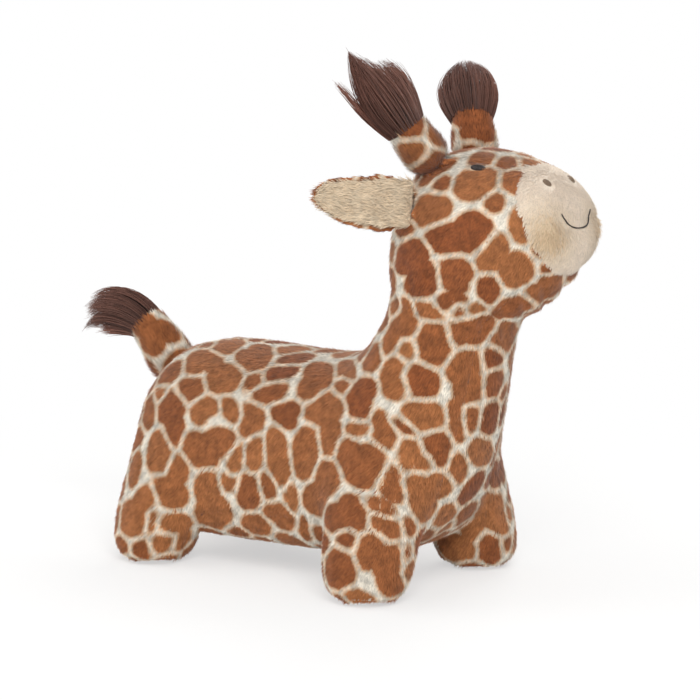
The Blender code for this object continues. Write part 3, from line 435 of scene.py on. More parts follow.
# The printed patches of the side that the photograph shows, each one or more ellipses that a program fitted
# to its print: middle x, y, z, half length, half width, turn from the way in which the pile lies, all in mm
# and degrees, and the patch's number.
PATCHES = (
    (191, 37, 486, 20, 11, -57, 1), (182, 53, 501, 19, 13, 10, 1), (165, 44, 503, 22, 12, -81, 1),
    (164, -47, 503, 12, 3, -74, 2), (156, -50, 495, 15, 9, 42, 2), (181, -67, 470, 14, 11, -47, 4),
    (241, -31, 470, 17, 10, 67, 5), (198, -53, 452, 25, 16, -35, 6), (258, -63, 445, 22, 19, -23, 7),
    (206, -76, 415, 27, 14, -50, 8), (286, -70, 427, 7, 7, 47, 9), (265, -80, 401, 21, 18, -46, 10),
    (237, -83, 387, 25, 13, -57, 10), (167, -70, 391, 20, 7, -60, 11), (302, -59, 354, 19, 14, 18, 12),
    (284, -73, 372, 21, 12, -2, 12), (183, -79, 360, 29, 14, -39, 13), (197, -80, 343, 25, 14, -23, 13),
    (248, -78, 357, 14, 11, -73, 14), (237, -78, 345, 17, 11, 76, 14), (231, -72, 320, 16, 8, -37, 14),
    (322, -17, 336, 20, 12, 50, 15), (311, -21, 326, 16, 11, 66, 15), (272, -62, 332, 17, 8, 23, 16),
    (175, -73, 307, 11, 7, 18, 17), (172, -73, 292, 18, 9, -58, 17), (159, -74, 276, 15, 9, 8, 17),
    (284, -35, 311, 21, 15, -46, 18), (254, -39, 291, 19, 12, -8, 18), (236, -54, 284, 14, 12, 4, 18),
    (203, -74, 309, 17, 7, -87, 19), (239, -63, 307, 10, 5, 21, 20), (-213, -9, 236, 15, 12, -82, 21),
    (-221, -20, 227, 15, 12, -86, 21), (-240, -17, 244, 17, 11, -62, 21), (206, -71, 276, 22, 17, 29, 22),
    (262, -3, 282, 24, 9, 58, 23), (256, -5, 272, 20, 8, 62, 23), (-102, -25, 240, 30, 14, -71, 24),
    (-52, -34, 238, 31, 12, -77, 25), (-57, -53, 231, 28, 12, -66, 25), (129, -73, 252, 15, 12, -67, 26),
    (179, -78, 264, 8, 6, -42, 27), (-62, -83, 209, 21, 17, -72, 28), (-100, -63, 226, 24, 9, -74, 28),
    (-121, -65, 223, 23, 12, 88, 28), (234, -48, 250, 18, 15, -40, 29), (235, -41, 225, 18, 14, 29, 29),
    (225, -49, 194, 22, 9, 28, 29), (251, -17, 259, 13, 9, 76, 30), (3, -35, 236, 18, 12, 14, 31),
    (164, -83, 245, 15, 11, 13, 32), (173, -86, 229, 14, 11, -66, 32), (52, -57, 230, 27, 13, -78, 33),
    (49, -77, 214, 19, 12, 80, 33), (92, -60, 237, 28, 8, -73, 34), (-154, -73, 209, 17, 15, -20, 35),
    (1, -65, 221, 18, 12, -21, 36), (201, -75, 236, 17, 15, -76, 37), (-28, -76, 214, 15, 8, 52, 38),
    (246, -3, 227, 14, 12, 37, 39), (-104, -89, 200, 19, 13, -62, 40), (128, -87, 220, 20, 12, -40, 41),
    (135, -93, 205, 15, 12, 83, 41), (96, -79, 219, 11, 8, -75, 42), (-155, -90, 185, 11, 8, -80, 43),
    (12, -84, 204, 12, 10, -26, 44), (-4, -88, 199, 16, 8, -61, 44), (-126, -102, 172, 21, 17, -52, 45),
    (-112, -109, 149, 18, 12, 54, 45), (84, -91, 195, 25, 16, -56, 46), (98, -101, 170, 19, 13, 41, 46),
    (-169, -94, 162, 19, 12, 61, 47), (203, -74, 202, 22, 13, -82, 48), (-72, -101, 179, 15, 8, -67, 49),
    (-84, -104, 172, 13, 9, 66, 49), (-15, -98, 182, 15, 7, -89, 50), (-8, -103, 168, 13, 10, -36, 50),
    (-40, -101, 178, 16, 6, 81, 51), (39, -93, 189, 11, 7, -45, 52), (30, -96, 181, 17, 8, -83, 52),
    (234, -28, 189, 14, 8, 14, 53), (168, -96, 182, 20, 10, 68, 54), (185, -86, 192, 14, 4, 86, 55),
    (-52, -108, 153, 23, 13, -48, 56), (-69, -112, 134, 25, 15, -80, 56), (135, -100, 182, 15, 5, -49, 57),
    (64, -104, 146, 26, 16, 26, 58), (28, -106, 139, 32, 13, 48, 59), (-135, -117, 122, 24, 16, 59, 60),
    (232, -2, 161, 17, 9, 73, 61), (228, -3, 147, 24, 9, 72, 61), (212, -61, 167, 12, 10, -67, 62),
    (213, -55, 153, 15, 8, 35, 62), (-29, -109, 134, 17, 7, 13, 63), (193, -81, 163, 11, 8, 67, 64),
    (192, -84, 152, 16, 8, -80, 64), (-3, -108, 135, 20, 9, 23, 65), (157, -107, 156, 19, 14, -88, 66),
    (137, -112, 144, 31, 15, 86, 66), (-162, -119, 104, 19, 9, 49, 67), (220, -33, 139, 17, 9, 34, 68),
    (-96, -119, 106, 17, 13, 13, 69), (-102, -124, 82, 22, 14, 84, 69), (103, -112, 124, 18, 16, -74, 70),
    (82, -105, 99, 24, 15, -38, 70), (180, -100, 136, 11, 8, -17, 71), (180, -104, 122, 13, 8, 72, 71),
    (177, -114, 109, 18, 7, -87, 71), (-34, -109, 108, 11, 7, -43, 72), (196, 63, 77, 42, 18, 54, 73),
    (179, 50, 54, 24, 12, 13, 73), (149, 50, 23, 38, 14, -61, 73), (-65, -110, 86, 21, 13, 15, 74),
    (-63, -102, 60, 26, 18, -16, 74), (15, -106, 106, 12, 8, 49, 75), (208, -47, 113, 17, 12, -85, 76),
    (200, -61, 99, 17, 13, 44, 76), (195, -79, 117, 19, 11, 21, 76), (-12, -106, 92, 21, 13, 12, 77),
    (-141, -133, 77, 18, 12, 2, 78), (-151, -142, 53, 22, 16, -74, 78), (52, -103, 97, 16, 6, 31, 79),
    (145, -127, 103, 22, 13, 90, 80), (133, -131, 87, 23, 12, -56, 80), (24, -100, 78, 15, 9, -38, 81),
    (26, -97, 65, 12, 10, -8, 81), (200, -25, 84, 14, 12, 42, 82), (-123, -138, 51, 12, 5, 21, 83),
    (-97, -104, 29, 12, 9, 1, 84), (-96, -114, 45, 14, 9, 89, 84), (-107, -130, 48, 12, 9, 79, 84),
    (-12, -94, 54, 16, 12, -41, 85), (189, -110, 83, 20, 10, 89, 86), (57, -89, 58, 17, 4, 24, 87),
    (180, -29, 60, 13, 7, 45, 88), (146, -137, 70, 10, 7, -71, 89), (189, 70, 27, 21, 12, 43, 90),
    (-112, -131, 24, 14, 9, -38, 91), (176, -131, 59, 18, 12, 14, 92), (190, -118, 52, 18, 13, -43, 92),
    (194, -114, 24, 18, 10, 60, 92), (-166, -144, 16, 12, 7, -53, 93), (-133, -145, 19, 10, 8, 1, 94),
    (141, -145, 43, 20, 19, -68, 95), (198, -91, 53, 8, 5, -22, 96), (169, -139, 12, 16, 7, -87, 97),
)


@dataclass
class GiraffePrint:
    """The printed pattern: rounded brown patches with pale lines between them. Its sizes are in mm."""

    line: float = 7.2  # least width of the pale line
    growth: float = 3.8  # how far a patch may reach past its ellipses
    least_gap: float = 13.0  # a bare place this far from every patch gets another
    largest: float = 16.0  # size of a patch that the rule lays
    roundness: tuple[float, float] = (1.2, 0.85)  # its half length and half width, over its size
    most: int = 400  # patches that the rule may lay
    turn: int = 67  # degrees from one of them to the next
    depth: float = 10.0  # half the thickness of an ellipse, so that it doesn't reach through an ear
    snap: float = 16.0  # an ellipse farther than this from the cloth is left out
    far: float = 18.0  # an ellipse this far away has no say at a place
    nowhere: float = 1e3  # the distance to a patch while none is known
    repeated_side: float = -25.0  # ellipses with Y under this and Z under the next are there on the left too
    repeated_top: float = 330.0
    shift: tuple[float, float, float] = (-14.0, 0.0, 9.0)  # of the left side's patches from the right side's
    middles: list = field(default_factory=list)
    axes: list = field(default_factory=list)
    numbers: list = field(default_factory=list)

    def lay_out(self, points: np.ndarray, normals: np.ndarray) -> None:
        """Sets the patches on the cover: the table's, shifted ones on the left, and more on bare places.

        Args:
            points: the printed cloth's points, in metres.
            normals: the way out at each.
        """
        tree = point_tree(points)
        last = max(row[6] for row in PATCHES)
        rows = list(PATCHES)
        for x, y, z, long, short, turn, number in PATCHES:
            if y < self.repeated_side and z < self.repeated_top:
                dx, dy, dz = self.shift
                rows.append((x + dx, -y + dy, z + dz, long, short, -turn, number + last))
        for x, y, z, long, short, turn, number in rows:
            spot, i, gap = tree.find(Vector((x, y, z)) * MM)
            if gap < self.snap * MM:
                self.add(np.array(spot) / MM, normals[i], long, short, turn, number)
        self.fill(points / MM, normals)

    def add(
        self, middle: np.ndarray, normal: np.ndarray, long: float, short: float, turn: float, number: int
    ) -> None:
        """Adds one ellipse that lies on the cover."""
        lay = along_surface(normal[None], LAY_WAY)[0]
        side = np.cross(normal, lay)
        angle = math.radians(turn)
        first = lay * math.cos(angle) + side * math.sin(angle)
        second = np.cross(normal, first)
        self.middles.append(middle)
        self.axes.append(np.stack([first / long, second / short, normal / min(short, self.depth)]))
        self.numbers.append(number)

    def reach(self, points: np.ndarray, i: int) -> np.ndarray:
        """How far each point lies outside one ellipse. It is below zero inside."""
        away = points - self.middles[i]
        ratio = np.maximum(1e-3, np.linalg.norm(away @ self.axes[i].T, axis=1))
        return np.linalg.norm(away, axis=1) * (1 - 1 / ratio)

    def fill(self, points: np.ndarray, normals: np.ndarray) -> None:
        """Lays round patches on what is still bare, each at the place that is farthest from the others."""
        nearest = np.full(len(points), self.nowhere)
        for i in range(len(self.middles)):
            nearest = np.minimum(nearest, self.reach(points, i))
        first, (long, short) = max(self.numbers) + 1, self.roundness
        for step in range(self.most):
            k = int(nearest.argmax())
            if nearest[k] < self.least_gap:
                break
            size = min(self.largest, nearest[k] - self.line)
            turn = (step * self.turn) % 180 - 90
            self.add(points[k], normals[k], size * long, size * short, turn, first + step)
            nearest = np.minimum(nearest, self.reach(points, len(self.middles) - 1))

    def measure(self, points: np.ndarray) -> tuple[np.ndarray, np.ndarray]:
        """Where the points lie in the pattern.

        Args:
            points: places in metres.

        Returns:
            How far each lies inside its patch, and how dark its patch is, from 0 to 1.
        """
        points = points / MM
        columns = [np.ascontiguousarray(points[:, k]) for k in range(3)]
        best = np.full(len(points), self.nowhere)
        second = np.full(len(points), self.nowhere)
        owner = np.full(len(points), -1)
        for i, number in enumerate(self.numbers):
            span = 1 / np.linalg.norm(self.axes[i], axis=1).min() + self.far
            close = np.ones(len(points), bool)
            for column, middle in zip(columns, self.middles[i]):
                close &= np.abs(column - middle) < span
            spots = np.nonzero(close)[0]
            reach = self.reach(points[spots], i)
            first, next_best = best[spots], second[spots]
            same = owner[spots] == number
            nearer = ~same & (reach < first)
            second[spots] = np.where(nearer, first, np.where(same, next_best, np.minimum(next_best, reach)))
            best[spots] = np.where(same | nearer, np.minimum(first, reach), first)
            owner[spots[nearer]] = number
        inside = np.minimum(self.growth - best, (second - best) / 2 - self.line / 2)
        shade = (np.sin(owner * 12.9898) * 43758.5453) % 1.0  # scatters the patches' numbers between 0 and 1
        return inside, shade


def corners_of(mesh: bpy.types.Mesh) -> np.ndarray:
    """The point number of each face corner of a mesh."""
    corners = np.empty(len(mesh.loops), int)
    mesh.loops.foreach_get("vertex_index", corners)
    return corners


def lay_map(mesh: bpy.types.Mesh, strand: np.ndarray, flat: np.ndarray, across: int, down: int) -> None:
    """Lays every strand in a cell of its own on a square map.

    Args:
        mesh: the strands.
        strand: the strand's number for each face corner.
        flat: the place in the cell for each face corner.
        across: how many cells stand in a row.
        down: how many rows there are.
    """
    cell = np.stack([strand % across, strand // across], -1)
    uv = (cell + flat) / (across, down)
    layer = mesh.uv_layers.new(name="OFBake")
    layer.data.foreach_set("uv", uv.astype(np.float32).ravel())


@dataclass
class Grower:
    """A node tree that makes strands, and how it is run."""

    tree: bpy.types.GeometryNodeTree | None = None

    def start(self, name: str, **kinds: str) -> bpy.types.NodeOutputs:
        """Makes the tree, which takes geometry and gives geometry.

        Args:
            name: the tree's name.
            kinds: the socket kind of each further input.

        Returns:
            What the inputs give.
        """
        self.tree = bpy.data.node_groups.new(name, "GeometryNodeTree")
        face = self.tree.interface
        for way in ("OUTPUT", "INPUT"):
            face.new_socket(name="Geometry", in_out=way, socket_type="NodeSocketGeometry")
        for key, kind in kinds.items():
            face.new_socket(name=key, in_out="INPUT", socket_type="NodeSocket" + kind)
        return add_node(self.tree, "NodeGroupInput").outputs

    def end(self, strands: bpy.types.Node, finish: bpy.types.NodeSocket) -> None:
        """Ends the tree: makes the strands real mesh and gives them their finish."""
        whole = add_node(self.tree, "GeometryNodeRealizeInstances", (strands,))
        dressed = add_node(self.tree, "GeometryNodeSetMaterial", {"Geometry": whole, "Material": finish})
        add_node(self.tree, "NodeGroupOutput", {"Geometry": dressed})

    def run(
        self, name: str, mesh: bpy.types.Mesh, finish: bpy.types.Material, values: dict
    ) -> bpy.types.Mesh:
        """Runs the tree on a mesh.

        Args:
            name: the name of the strands.
            mesh: what they grow on.
            finish: their material.
            values: a value for each other input of the tree.

        Returns:
            The strands as a plain mesh.
        """
        carrier = place_object(name + "_carrier", mesh)
        modifier = carrier.modifiers.new(self.tree.name, "NODES")
        modifier.node_group = self.tree
        values = {"Finish": finish, **values}
        for item in self.tree.interface.items_tree:
            if item.item_type == "SOCKET" and item.in_out == "INPUT" and item.name in values:
                modifier[item.identifier] = values[item.name]
        grown = evaluated(carrier)
        bpy.data.objects.remove(carrier)
        grown.name = name
        if not grown.materials:
            grown.materials.append(finish)
        grown.shade_smooth()
        return grown


@dataclass(frozen=True)
class Nap:
    """How a pile grows: how dense, and how its strands lie, stray and gather."""

    density: float  # strands on a square metre
    lean: float  # degrees from the way out
    ruffle: float  # how far a strand strays from the others
    clump: float  # how far a tuft of strands strays from the next
    tuft_size: float = 60.0  # noise scale of the tufts
    width: float = 1.0 * MM

    def values(self, seed: int) -> dict:
        """The values for the inputs of the pile's tree."""
        shape = {"Width": self.width, "Lean": math.radians(self.lean), "Tuft Size": self.tuft_size}
        return {"Density": self.density, "Ruffle": self.ruffle, "Clump": self.clump, "Seed": seed, **shape}


COVER_NAP = Nap(420_000.0, 60, 0.16, 0.55, width=1.1 * MM)
MUZZLE_NAP = Nap(480_000.0, 60, 0.34, 1.5, tuft_size=95.0, width=1.1 * MM)
SLEEVE_NAP = Nap(450_000.0, 52, 0.16, 0.5)
EAR_NAP = Nap(450_000.0, 66, 0.14, 0.5, tuft_size=70.0)
LINING_NAP = Nap(600_000.0, 56, 0.32, 1.3, tuft_size=90.0)


@dataclass
class PileTree(Grower):
    """The node tree that plants a blade at every place of a cloth and lays it down."""

    blade: bpy.types.Object | None = None
    fray: float = 1.8  # how unevenly the print's edge takes single strands, in mm
    bend: float = 0.28  # how far a blade's tip bends towards the cloth, as a share of its length
    waist: float = 0.36  # half a blade's width halfway up, where half its width at the foot is 0.5
    sag: float = 0.22  # share of the bend that it has halfway up
    shortest: float = 0.7  # a blade's length as a share of the pile's
    longest: float = 1.1
    floor: float = 0.4 * MM  # no blade reaches lower
    seed_steps: tuple[int, int] = (7, 13)  # give its way and its length random numbers of their own
    cells: tuple = ((0.1, 0.06), (0.9, 0.06), (0.14, 0.5), (0.86, 0.5), (0.5, 0.94))  # its corners on the map

    def build(self) -> None:
        """Builds the blade and the tree."""
        halfway = -self.sag * self.bend
        rows = [(-0.5, 0.0, 0.0), (0.5, 0.0, 0.0), (-self.waist, halfway, 0.5), (self.waist, halfway, 0.5)]
        mesh = mesh_from("blade", np.array([*rows, (0.0, -self.bend, 1.0)]), [(1, 0, 2, 3), (3, 2, 4)])
        store(mesh, "along", np.array([0.0, 0.0, 0.5, 0.5, 1.0]))
        self.blade = place_object("blade", mesh)
        sizes = dict.fromkeys(("Density", "Width", "Lean", "Ruffle", "Clump", "Tuft Size"), "Float")
        given = self.start("pile", **sizes, Seed="Int", Blade="Object", Finish="Material")
        tree, seed, lean = self.tree, given["Seed"], given["Lean"]
        kinds = {"thick": "FLOAT", "wild": "FLOAT", "pile": "FLOAT", "lay": "FLOAT_VECTOR"}
        read = [
            add_node(tree, "GeometryNodeInputNamedAttribute", {"Name": name}, data_type=kind)
            for name, kind in kinds.items()
        ]
        thick, wild, pile, lay = (node.outputs["Attribute"] for node in read)
        steps = (
            ("MULTIPLY", (given["Density"], thick)),
            ("COSINE", (lean,)),
            ("SINE", (lean,)),
            ("MULTIPLY", (given["Clump"], wild)),
            ("MULTIPLY", (given["Ruffle"], wild)),
            *(("ADD", (seed, step)) for step in self.seed_steps),
        )
        dense, rise, lie, clump, ruffle, seed_way, seed_length = (
            add_node(tree, "ShaderNodeMath", terms, operation=step) for step, terms in steps
        )
        planted_on = {"Mesh": given["Geometry"], "Density": dense, "Seed": seed}
        spread = add_node(tree, "GeometryNodeDistributePointsOnFaces", planted_on)
        toss = add_node(tree, "FunctionNodeRandomValue", {"Seed": seed}, data_type="FLOAT").outputs[1]
        marked = {"Geometry": spread, "Name": "toss", "Value": toss}
        kept = add_node(tree, "GeometryNodeStoreNamedAttribute", marked, data_type="FLOAT", domain="POINT")
        normal = spread.outputs["Normal"]
        place = add_node(tree, "GeometryNodeInputPosition")
        noise = {"Vector": place, "Scale": given["Tuft Size"], "Detail": 1.0}
        tufts = add_node(tree, "ShaderNodeTexNoise", noise).outputs["Color"]
        swirl = add_node(tree, "ShaderNodeVectorMath", (tufts, (0.5, 0.5, 0.5)), operation="SUBTRACT")
        box = {0: (-1.0, -1.0, -1.0), 1: (1.0, 1.0, 1.0), "Seed": seed_way}
        jitter = add_node(tree, "FunctionNodeRandomValue", box, data_type="FLOAT_VECTOR")
        up, down, swirl, jitter = (
            add_node(tree, "ShaderNodeVectorMath", {0: vector, "Scale": share}, operation="SCALE")
            for vector, share in ((normal, rise), (lay, lie), (swirl, clump), (jitter, ruffle))
        )
        leaning, straying = (
            add_node(tree, "ShaderNodeVectorMath", pair, operation="ADD")
            for pair in ((up, down), (swirl, jitter))
        )
        way = add_node(tree, "ShaderNodeVectorMath", (leaning, straying), operation="ADD")
        turn = add_node(tree, "FunctionNodeAlignRotationToVector", {"Vector": way}, axis="Z")
        flat = {"Rotation": turn, "Vector": normal}
        facing = add_node(tree, "FunctionNodeAlignRotationToVector", flat, axis="Y", pivot_axis="Z")
        reach = {2: self.shortest, 3: self.longest, "Seed": seed_length}
        uneven = add_node(tree, "FunctionNodeRandomValue", reach, data_type="FLOAT").outputs[1]
        long = add_node(tree, "ShaderNodeMath", (pile, uneven), operation="MULTIPLY")
        size = add_node(tree, "ShaderNodeCombineXYZ", (given["Width"], long, long))
        blade = add_node(tree, "GeometryNodeObjectInfo", {"Object": given["Blade"]}).outputs["Geometry"]
        planting = {"Points": kept, "Instance": blade, "Rotation": facing, "Scale": size}
        self.end(add_node(tree, "GeometryNodeInstanceOnPoints", planting), given["Finish"])

    def grow(
        self, name: str, cloth: bpy.types.Mesh, finish: bpy.types.Material, paint: Callable, sizes: dict
    ) -> bpy.types.Object:
        """Grows a pile on a cloth.

        Args:
            name: the new piece's name.
            cloth: a mesh with the attributes that the strands read.
            finish: the strands' material.
            paint: gives the print's values, by name, for places on the strands.
            sizes: a value for each named input of the tree.

        Returns:
            The strands as one plain mesh object.
        """
        mesh = self.run(name, cloth, finish, {"Blade": self.blade, **sizes})
        for extra in ("lay", "pile", "thick", "wild"):
            if extra in mesh.attributes:
                mesh.attributes.remove(mesh.attributes[extra])
        points = points_of(mesh)
        points[:, 2] = np.maximum(points[:, 2], self.floor)
        move_points(mesh, points)
        toss = values_of(mesh, "toss")
        for key, values in paint(points).items():
            fray = self.fray * (toss - 0.5) if key == "patch" else 0.0
            rewrite(mesh, key, values + fray)
        self.unfold(mesh)
        log.info("%s: %d strands", name, len(mesh.vertices) // len(self.cells))
        return place_object(name, mesh)

    def unfold(self, mesh: bpy.types.Mesh) -> None:
        """Gives every blade its cell on the map."""
        own = len(self.cells)
        count = len(mesh.vertices) // own
        across = max(1, math.ceil(math.sqrt(count * 2)))
        down = max(1, math.ceil(count / across))
        corner = corners_of(mesh)
        lay_map(mesh, corner // own, np.array(self.cells)[corner % own], across, down)


@dataclass
class Spinner(Grower):
    """Turns lines into tapered three-sided strands or threads."""

    ring: int = 3
    tip: float = 0.15  # a strand's thickness at its tip, as a share
    across_cell: tuple[float, float] = (0.08, 0.84)  # where it starts in its cell, and how much it takes
    down_cell: tuple[float, float] = (0.04, 0.92)

    def build(self) -> None:
        """Builds the node tree."""
        given = self.start("strands", Thickness="Float", Finish="Material")
        tree = self.tree
        lines = add_node(tree, "GeometryNodeMeshToCurve", {"Mesh": given["Geometry"]})
        along = add_node(tree, "GeometryNodeInputNamedAttribute", {"Name": "along"}, data_type="FLOAT")
        taper = add_node(tree, "ShaderNodeMapRange", (along.outputs["Attribute"], 0.5, 1.0, 1.0, self.tip))
        radius = add_node(tree, "ShaderNodeMath", (given["Thickness"], taper), operation="MULTIPLY")
        ring = add_node(tree, "GeometryNodeCurvePrimitiveCircle", {"Resolution": self.ring, "Radius": 1.0})
        sweep = {"Curve": lines, "Profile Curve": ring.outputs["Curve"], "Scale": radius}
        self.end(add_node(tree, "GeometryNodeCurveToMesh", sweep), given["Finish"])

    def spin(
        self,
        name: str,
        paths: np.ndarray,
        along: np.ndarray,
        toss: np.ndarray,
        thickness: float,
        finish: bpy.types.Material,
    ) -> bpy.types.Object:
        """Makes one object of many strands.

        Args:
            name: the new object's name.
            paths: for each strand the places of its steps.
            along: how far along each step lies, from 0 to 1. A strand thins beyond 0.5.
            toss: a random number for each strand.
            thickness: a strand's radius.
            finish: its material.

        Returns:
            The strands as one plain mesh object.
        """
        count, steps = paths.shape[:2]
        start = (np.arange(count) * steps)[:, None] + np.arange(steps - 1)[None]
        edges = np.stack([start, start + 1], -1).reshape(-1, 2)
        mesh = bpy.data.meshes.new(name + "_lines")
        mesh.from_pydata(paths.reshape(-1, 3).tolist(), edges.tolist(), [])
        store(mesh, "along", np.tile(along, count))
        store(mesh, "toss", np.repeat(toss, steps))
        grown = self.run(name, mesh, finish, {"Thickness": thickness})
        self.unfold(grown, count, steps)
        log.info("%s: %d strands", name, count)
        return place_object(name, grown)

    def unfold(self, mesh: bpy.types.Mesh, strands: int, steps: int) -> None:
        """Gives every strand its cell on the map, slit along its length."""
        corner, own = corners_of(mesh), steps * self.ring
        strand, local = corner // own, corner % own
        step, side = local // self.ring, local % self.ring
        sides = side.reshape(-1, 4)
        wraps = np.repeat((sides.min(1) == 0) & (sides.max(1) == self.ring - 1), 4)
        side = np.where(wraps & (side == 0), self.ring, side)
        across = math.ceil(math.sqrt(strands * 3))
        (left, wide), (top, high) = self.across_cell, self.down_cell
        flat = np.stack([left + wide * side / self.ring, top + high * step / (steps - 1)], -1)
        lay_map(mesh, strand, flat, across, math.ceil(strands / across))


@dataclass(frozen=True)
class Root:
    """Where a soft piece that is sewn to the cover bends.

    Up to start it would follow the cover, and from end its own body; nothing in the script bends it by these
    places.
    """

    body: str
    start: tuple[float, float, float]
    end: tuple[float, float, float]


@dataclass
class Wardrobe:
    """What every sub-assembly shares: the frame, the pattern, the pile and the finishes."""

    frame: dict
    pattern: GiraffePrint = field(default_factory=GiraffePrint)
    pile: PileTree = field(default_factory=PileTree)
    spinner: Spinner = field(default_factory=Spinner)
    finishes: dict = field(default_factory=dict)
    weld: float = 0.01 * MM  # points of CAD nodes this near to each other become one
    softness: float = 0.6  # how far one smoothing moves a point
    cloth_along: float = 0.45  # the cloth has the painted root shade of a strand this far up

    def prepare(self) -> None:
        """Builds the finishes and both trees."""
        kinds = (PRINT_PILE, CREAM_PILE, MUZZLE_PILE, DARK_PILE, DARK_THREAD, TAUPE_THREAD)
        kinds += (BLADDER_RUBBER, VALVE_RUBBER, ZIP_PLASTIC, ZIP_METAL, TwillTape())
        self.finishes = {kind.name: kind.build() for kind in kinds}
        self.pile.build()
        self.spinner.build()

    def finish(self, kind: object) -> bpy.types.Material:
        """The material of a finish."""
        return self.finishes[kind.name]

    def node_mesh(self, names: list[str]) -> bpy.types.Mesh:
        """One merged copy of several CAD nodes."""
        bm = bmesh.new()
        for name in names:
            bm.from_mesh(self.frame["nodes"][name].data)
        bmesh.ops.remove_doubles(bm, verts=bm.verts[:], dist=self.weld)
        mesh = bpy.data.meshes.new("copy")
        bm.to_mesh(mesh)
        bm.free()
        return mesh

    def soft_copy(self, names: list[str], voxel: float, inset: float, rounds: int) -> bpy.types.Mesh:
        """A smooth closed copy of CAD nodes, drawn in to leave room for the pile.

        Args:
            names: the nodes.
            voxel: the size of the new faces.
            inset: how far it is drawn in.
            rounds: how many times it is smoothed.

        Returns:
            The new mesh.
        """
        made = place_object("soft", self.node_mesh(names))
        again = made.modifiers.new("even", "REMESH")
        again.mode = "VOXEL"
        again.voxel_size = voxel
        smooth = made.modifiers.new("soft", "SMOOTH")
        smooth.factor = self.softness
        smooth.iterations = rounds
        mesh = evaluated(made)
        bpy.data.objects.remove(made)
        move_points(mesh, points_of(mesh) - normals_of(mesh) * inset)
        return mesh

    def printed(self, points: np.ndarray) -> dict:
        """The giraffe print at places: how far inside a patch, and that patch's tone."""
        inside, shade = self.pattern.measure(points)
        return {"patch": inside, "shade": shade}

    def mark(
        self, mesh: bpy.types.Mesh, way: tuple | np.ndarray, pile: object, thick: object, paint: dict
    ) -> None:
        """Stores what the strands read on a cloth.

        Args:
            mesh: the cloth.
            way: the way in which the strands lie.
            pile: their length, one for all or one for each point.
            thick: how much of the full pile grows, from 0 to 1, in the same way.
            paint: the print's values.
        """
        one = np.ones(len(mesh.vertices))
        store(mesh, "lay", along_surface(normals_of(mesh), way))
        for key, values in {**paint, "pile": pile, "thick": thick, "wild": 1.0}.items():
            store(mesh, key, one * values)

    def carry(self, made: bpy.types.Object, carrier: str | Root) -> None:
        """Lets a finished piece ride on a body; a piece with a root rides on none, its place kept in its
        mesh.
        """
        if isinstance(carrier, Root):
            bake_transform(made)
        else:
            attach(made, carrier)

    def dress(
        self, name: str, mesh: bpy.types.Mesh, kind: Pile, carrier: str | Root, nodes: list[str]
    ) -> bpy.types.Object:
        """Makes a cloth piece of a mesh.

        Args:
            name: the piece's name.
            mesh: the cloth.
            kind: its finish.
            carrier: the body that it rides on, or the root where it bends.
            nodes: the CAD nodes that it stands for.

        Returns:
            The piece.
        """
        mesh = mesh.copy()
        mesh.materials.clear()
        mesh.materials.append(self.finish(kind))
        count = len(mesh.vertices)
        # The cloth takes the painted shade of the strands' roots.
        store(mesh, "along", np.full(count, self.cloth_along))
        store(mesh, "toss", np.full(count, 0.5))
        mesh.shade_smooth()
        made = place_object(name, mesh)
        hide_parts(*nodes)
        self.carry(made, carrier)
        return made

    def coat(
        self,
        name: str,
        cloth: bpy.types.Mesh,
        kind: Pile,
        carrier: str | Root,
        nap: Nap,
        seed: int,
        paint: Callable | None = None,
    ) -> None:
        """Grows the pile of a cloth, which rides on the same body as the cloth, or on none where it has a
        root.

        Args:
            name: the piece's name.
            cloth: the marked cloth.
            kind: its finish.
            carrier: the body that it rides on, or the root where it bends.
            nap: how the pile grows.
            seed: sets where its strands stand.
            paint: gives the print's values for places, where it isn't what the cloth has.
        """
        paint = paint or (self.printed if kind is PRINT_PILE else lambda points: {})
        made = self.pile.grow(name, cloth.copy(), self.finish(kind), paint, nap.values(seed))
        self.carry(made, carrier)


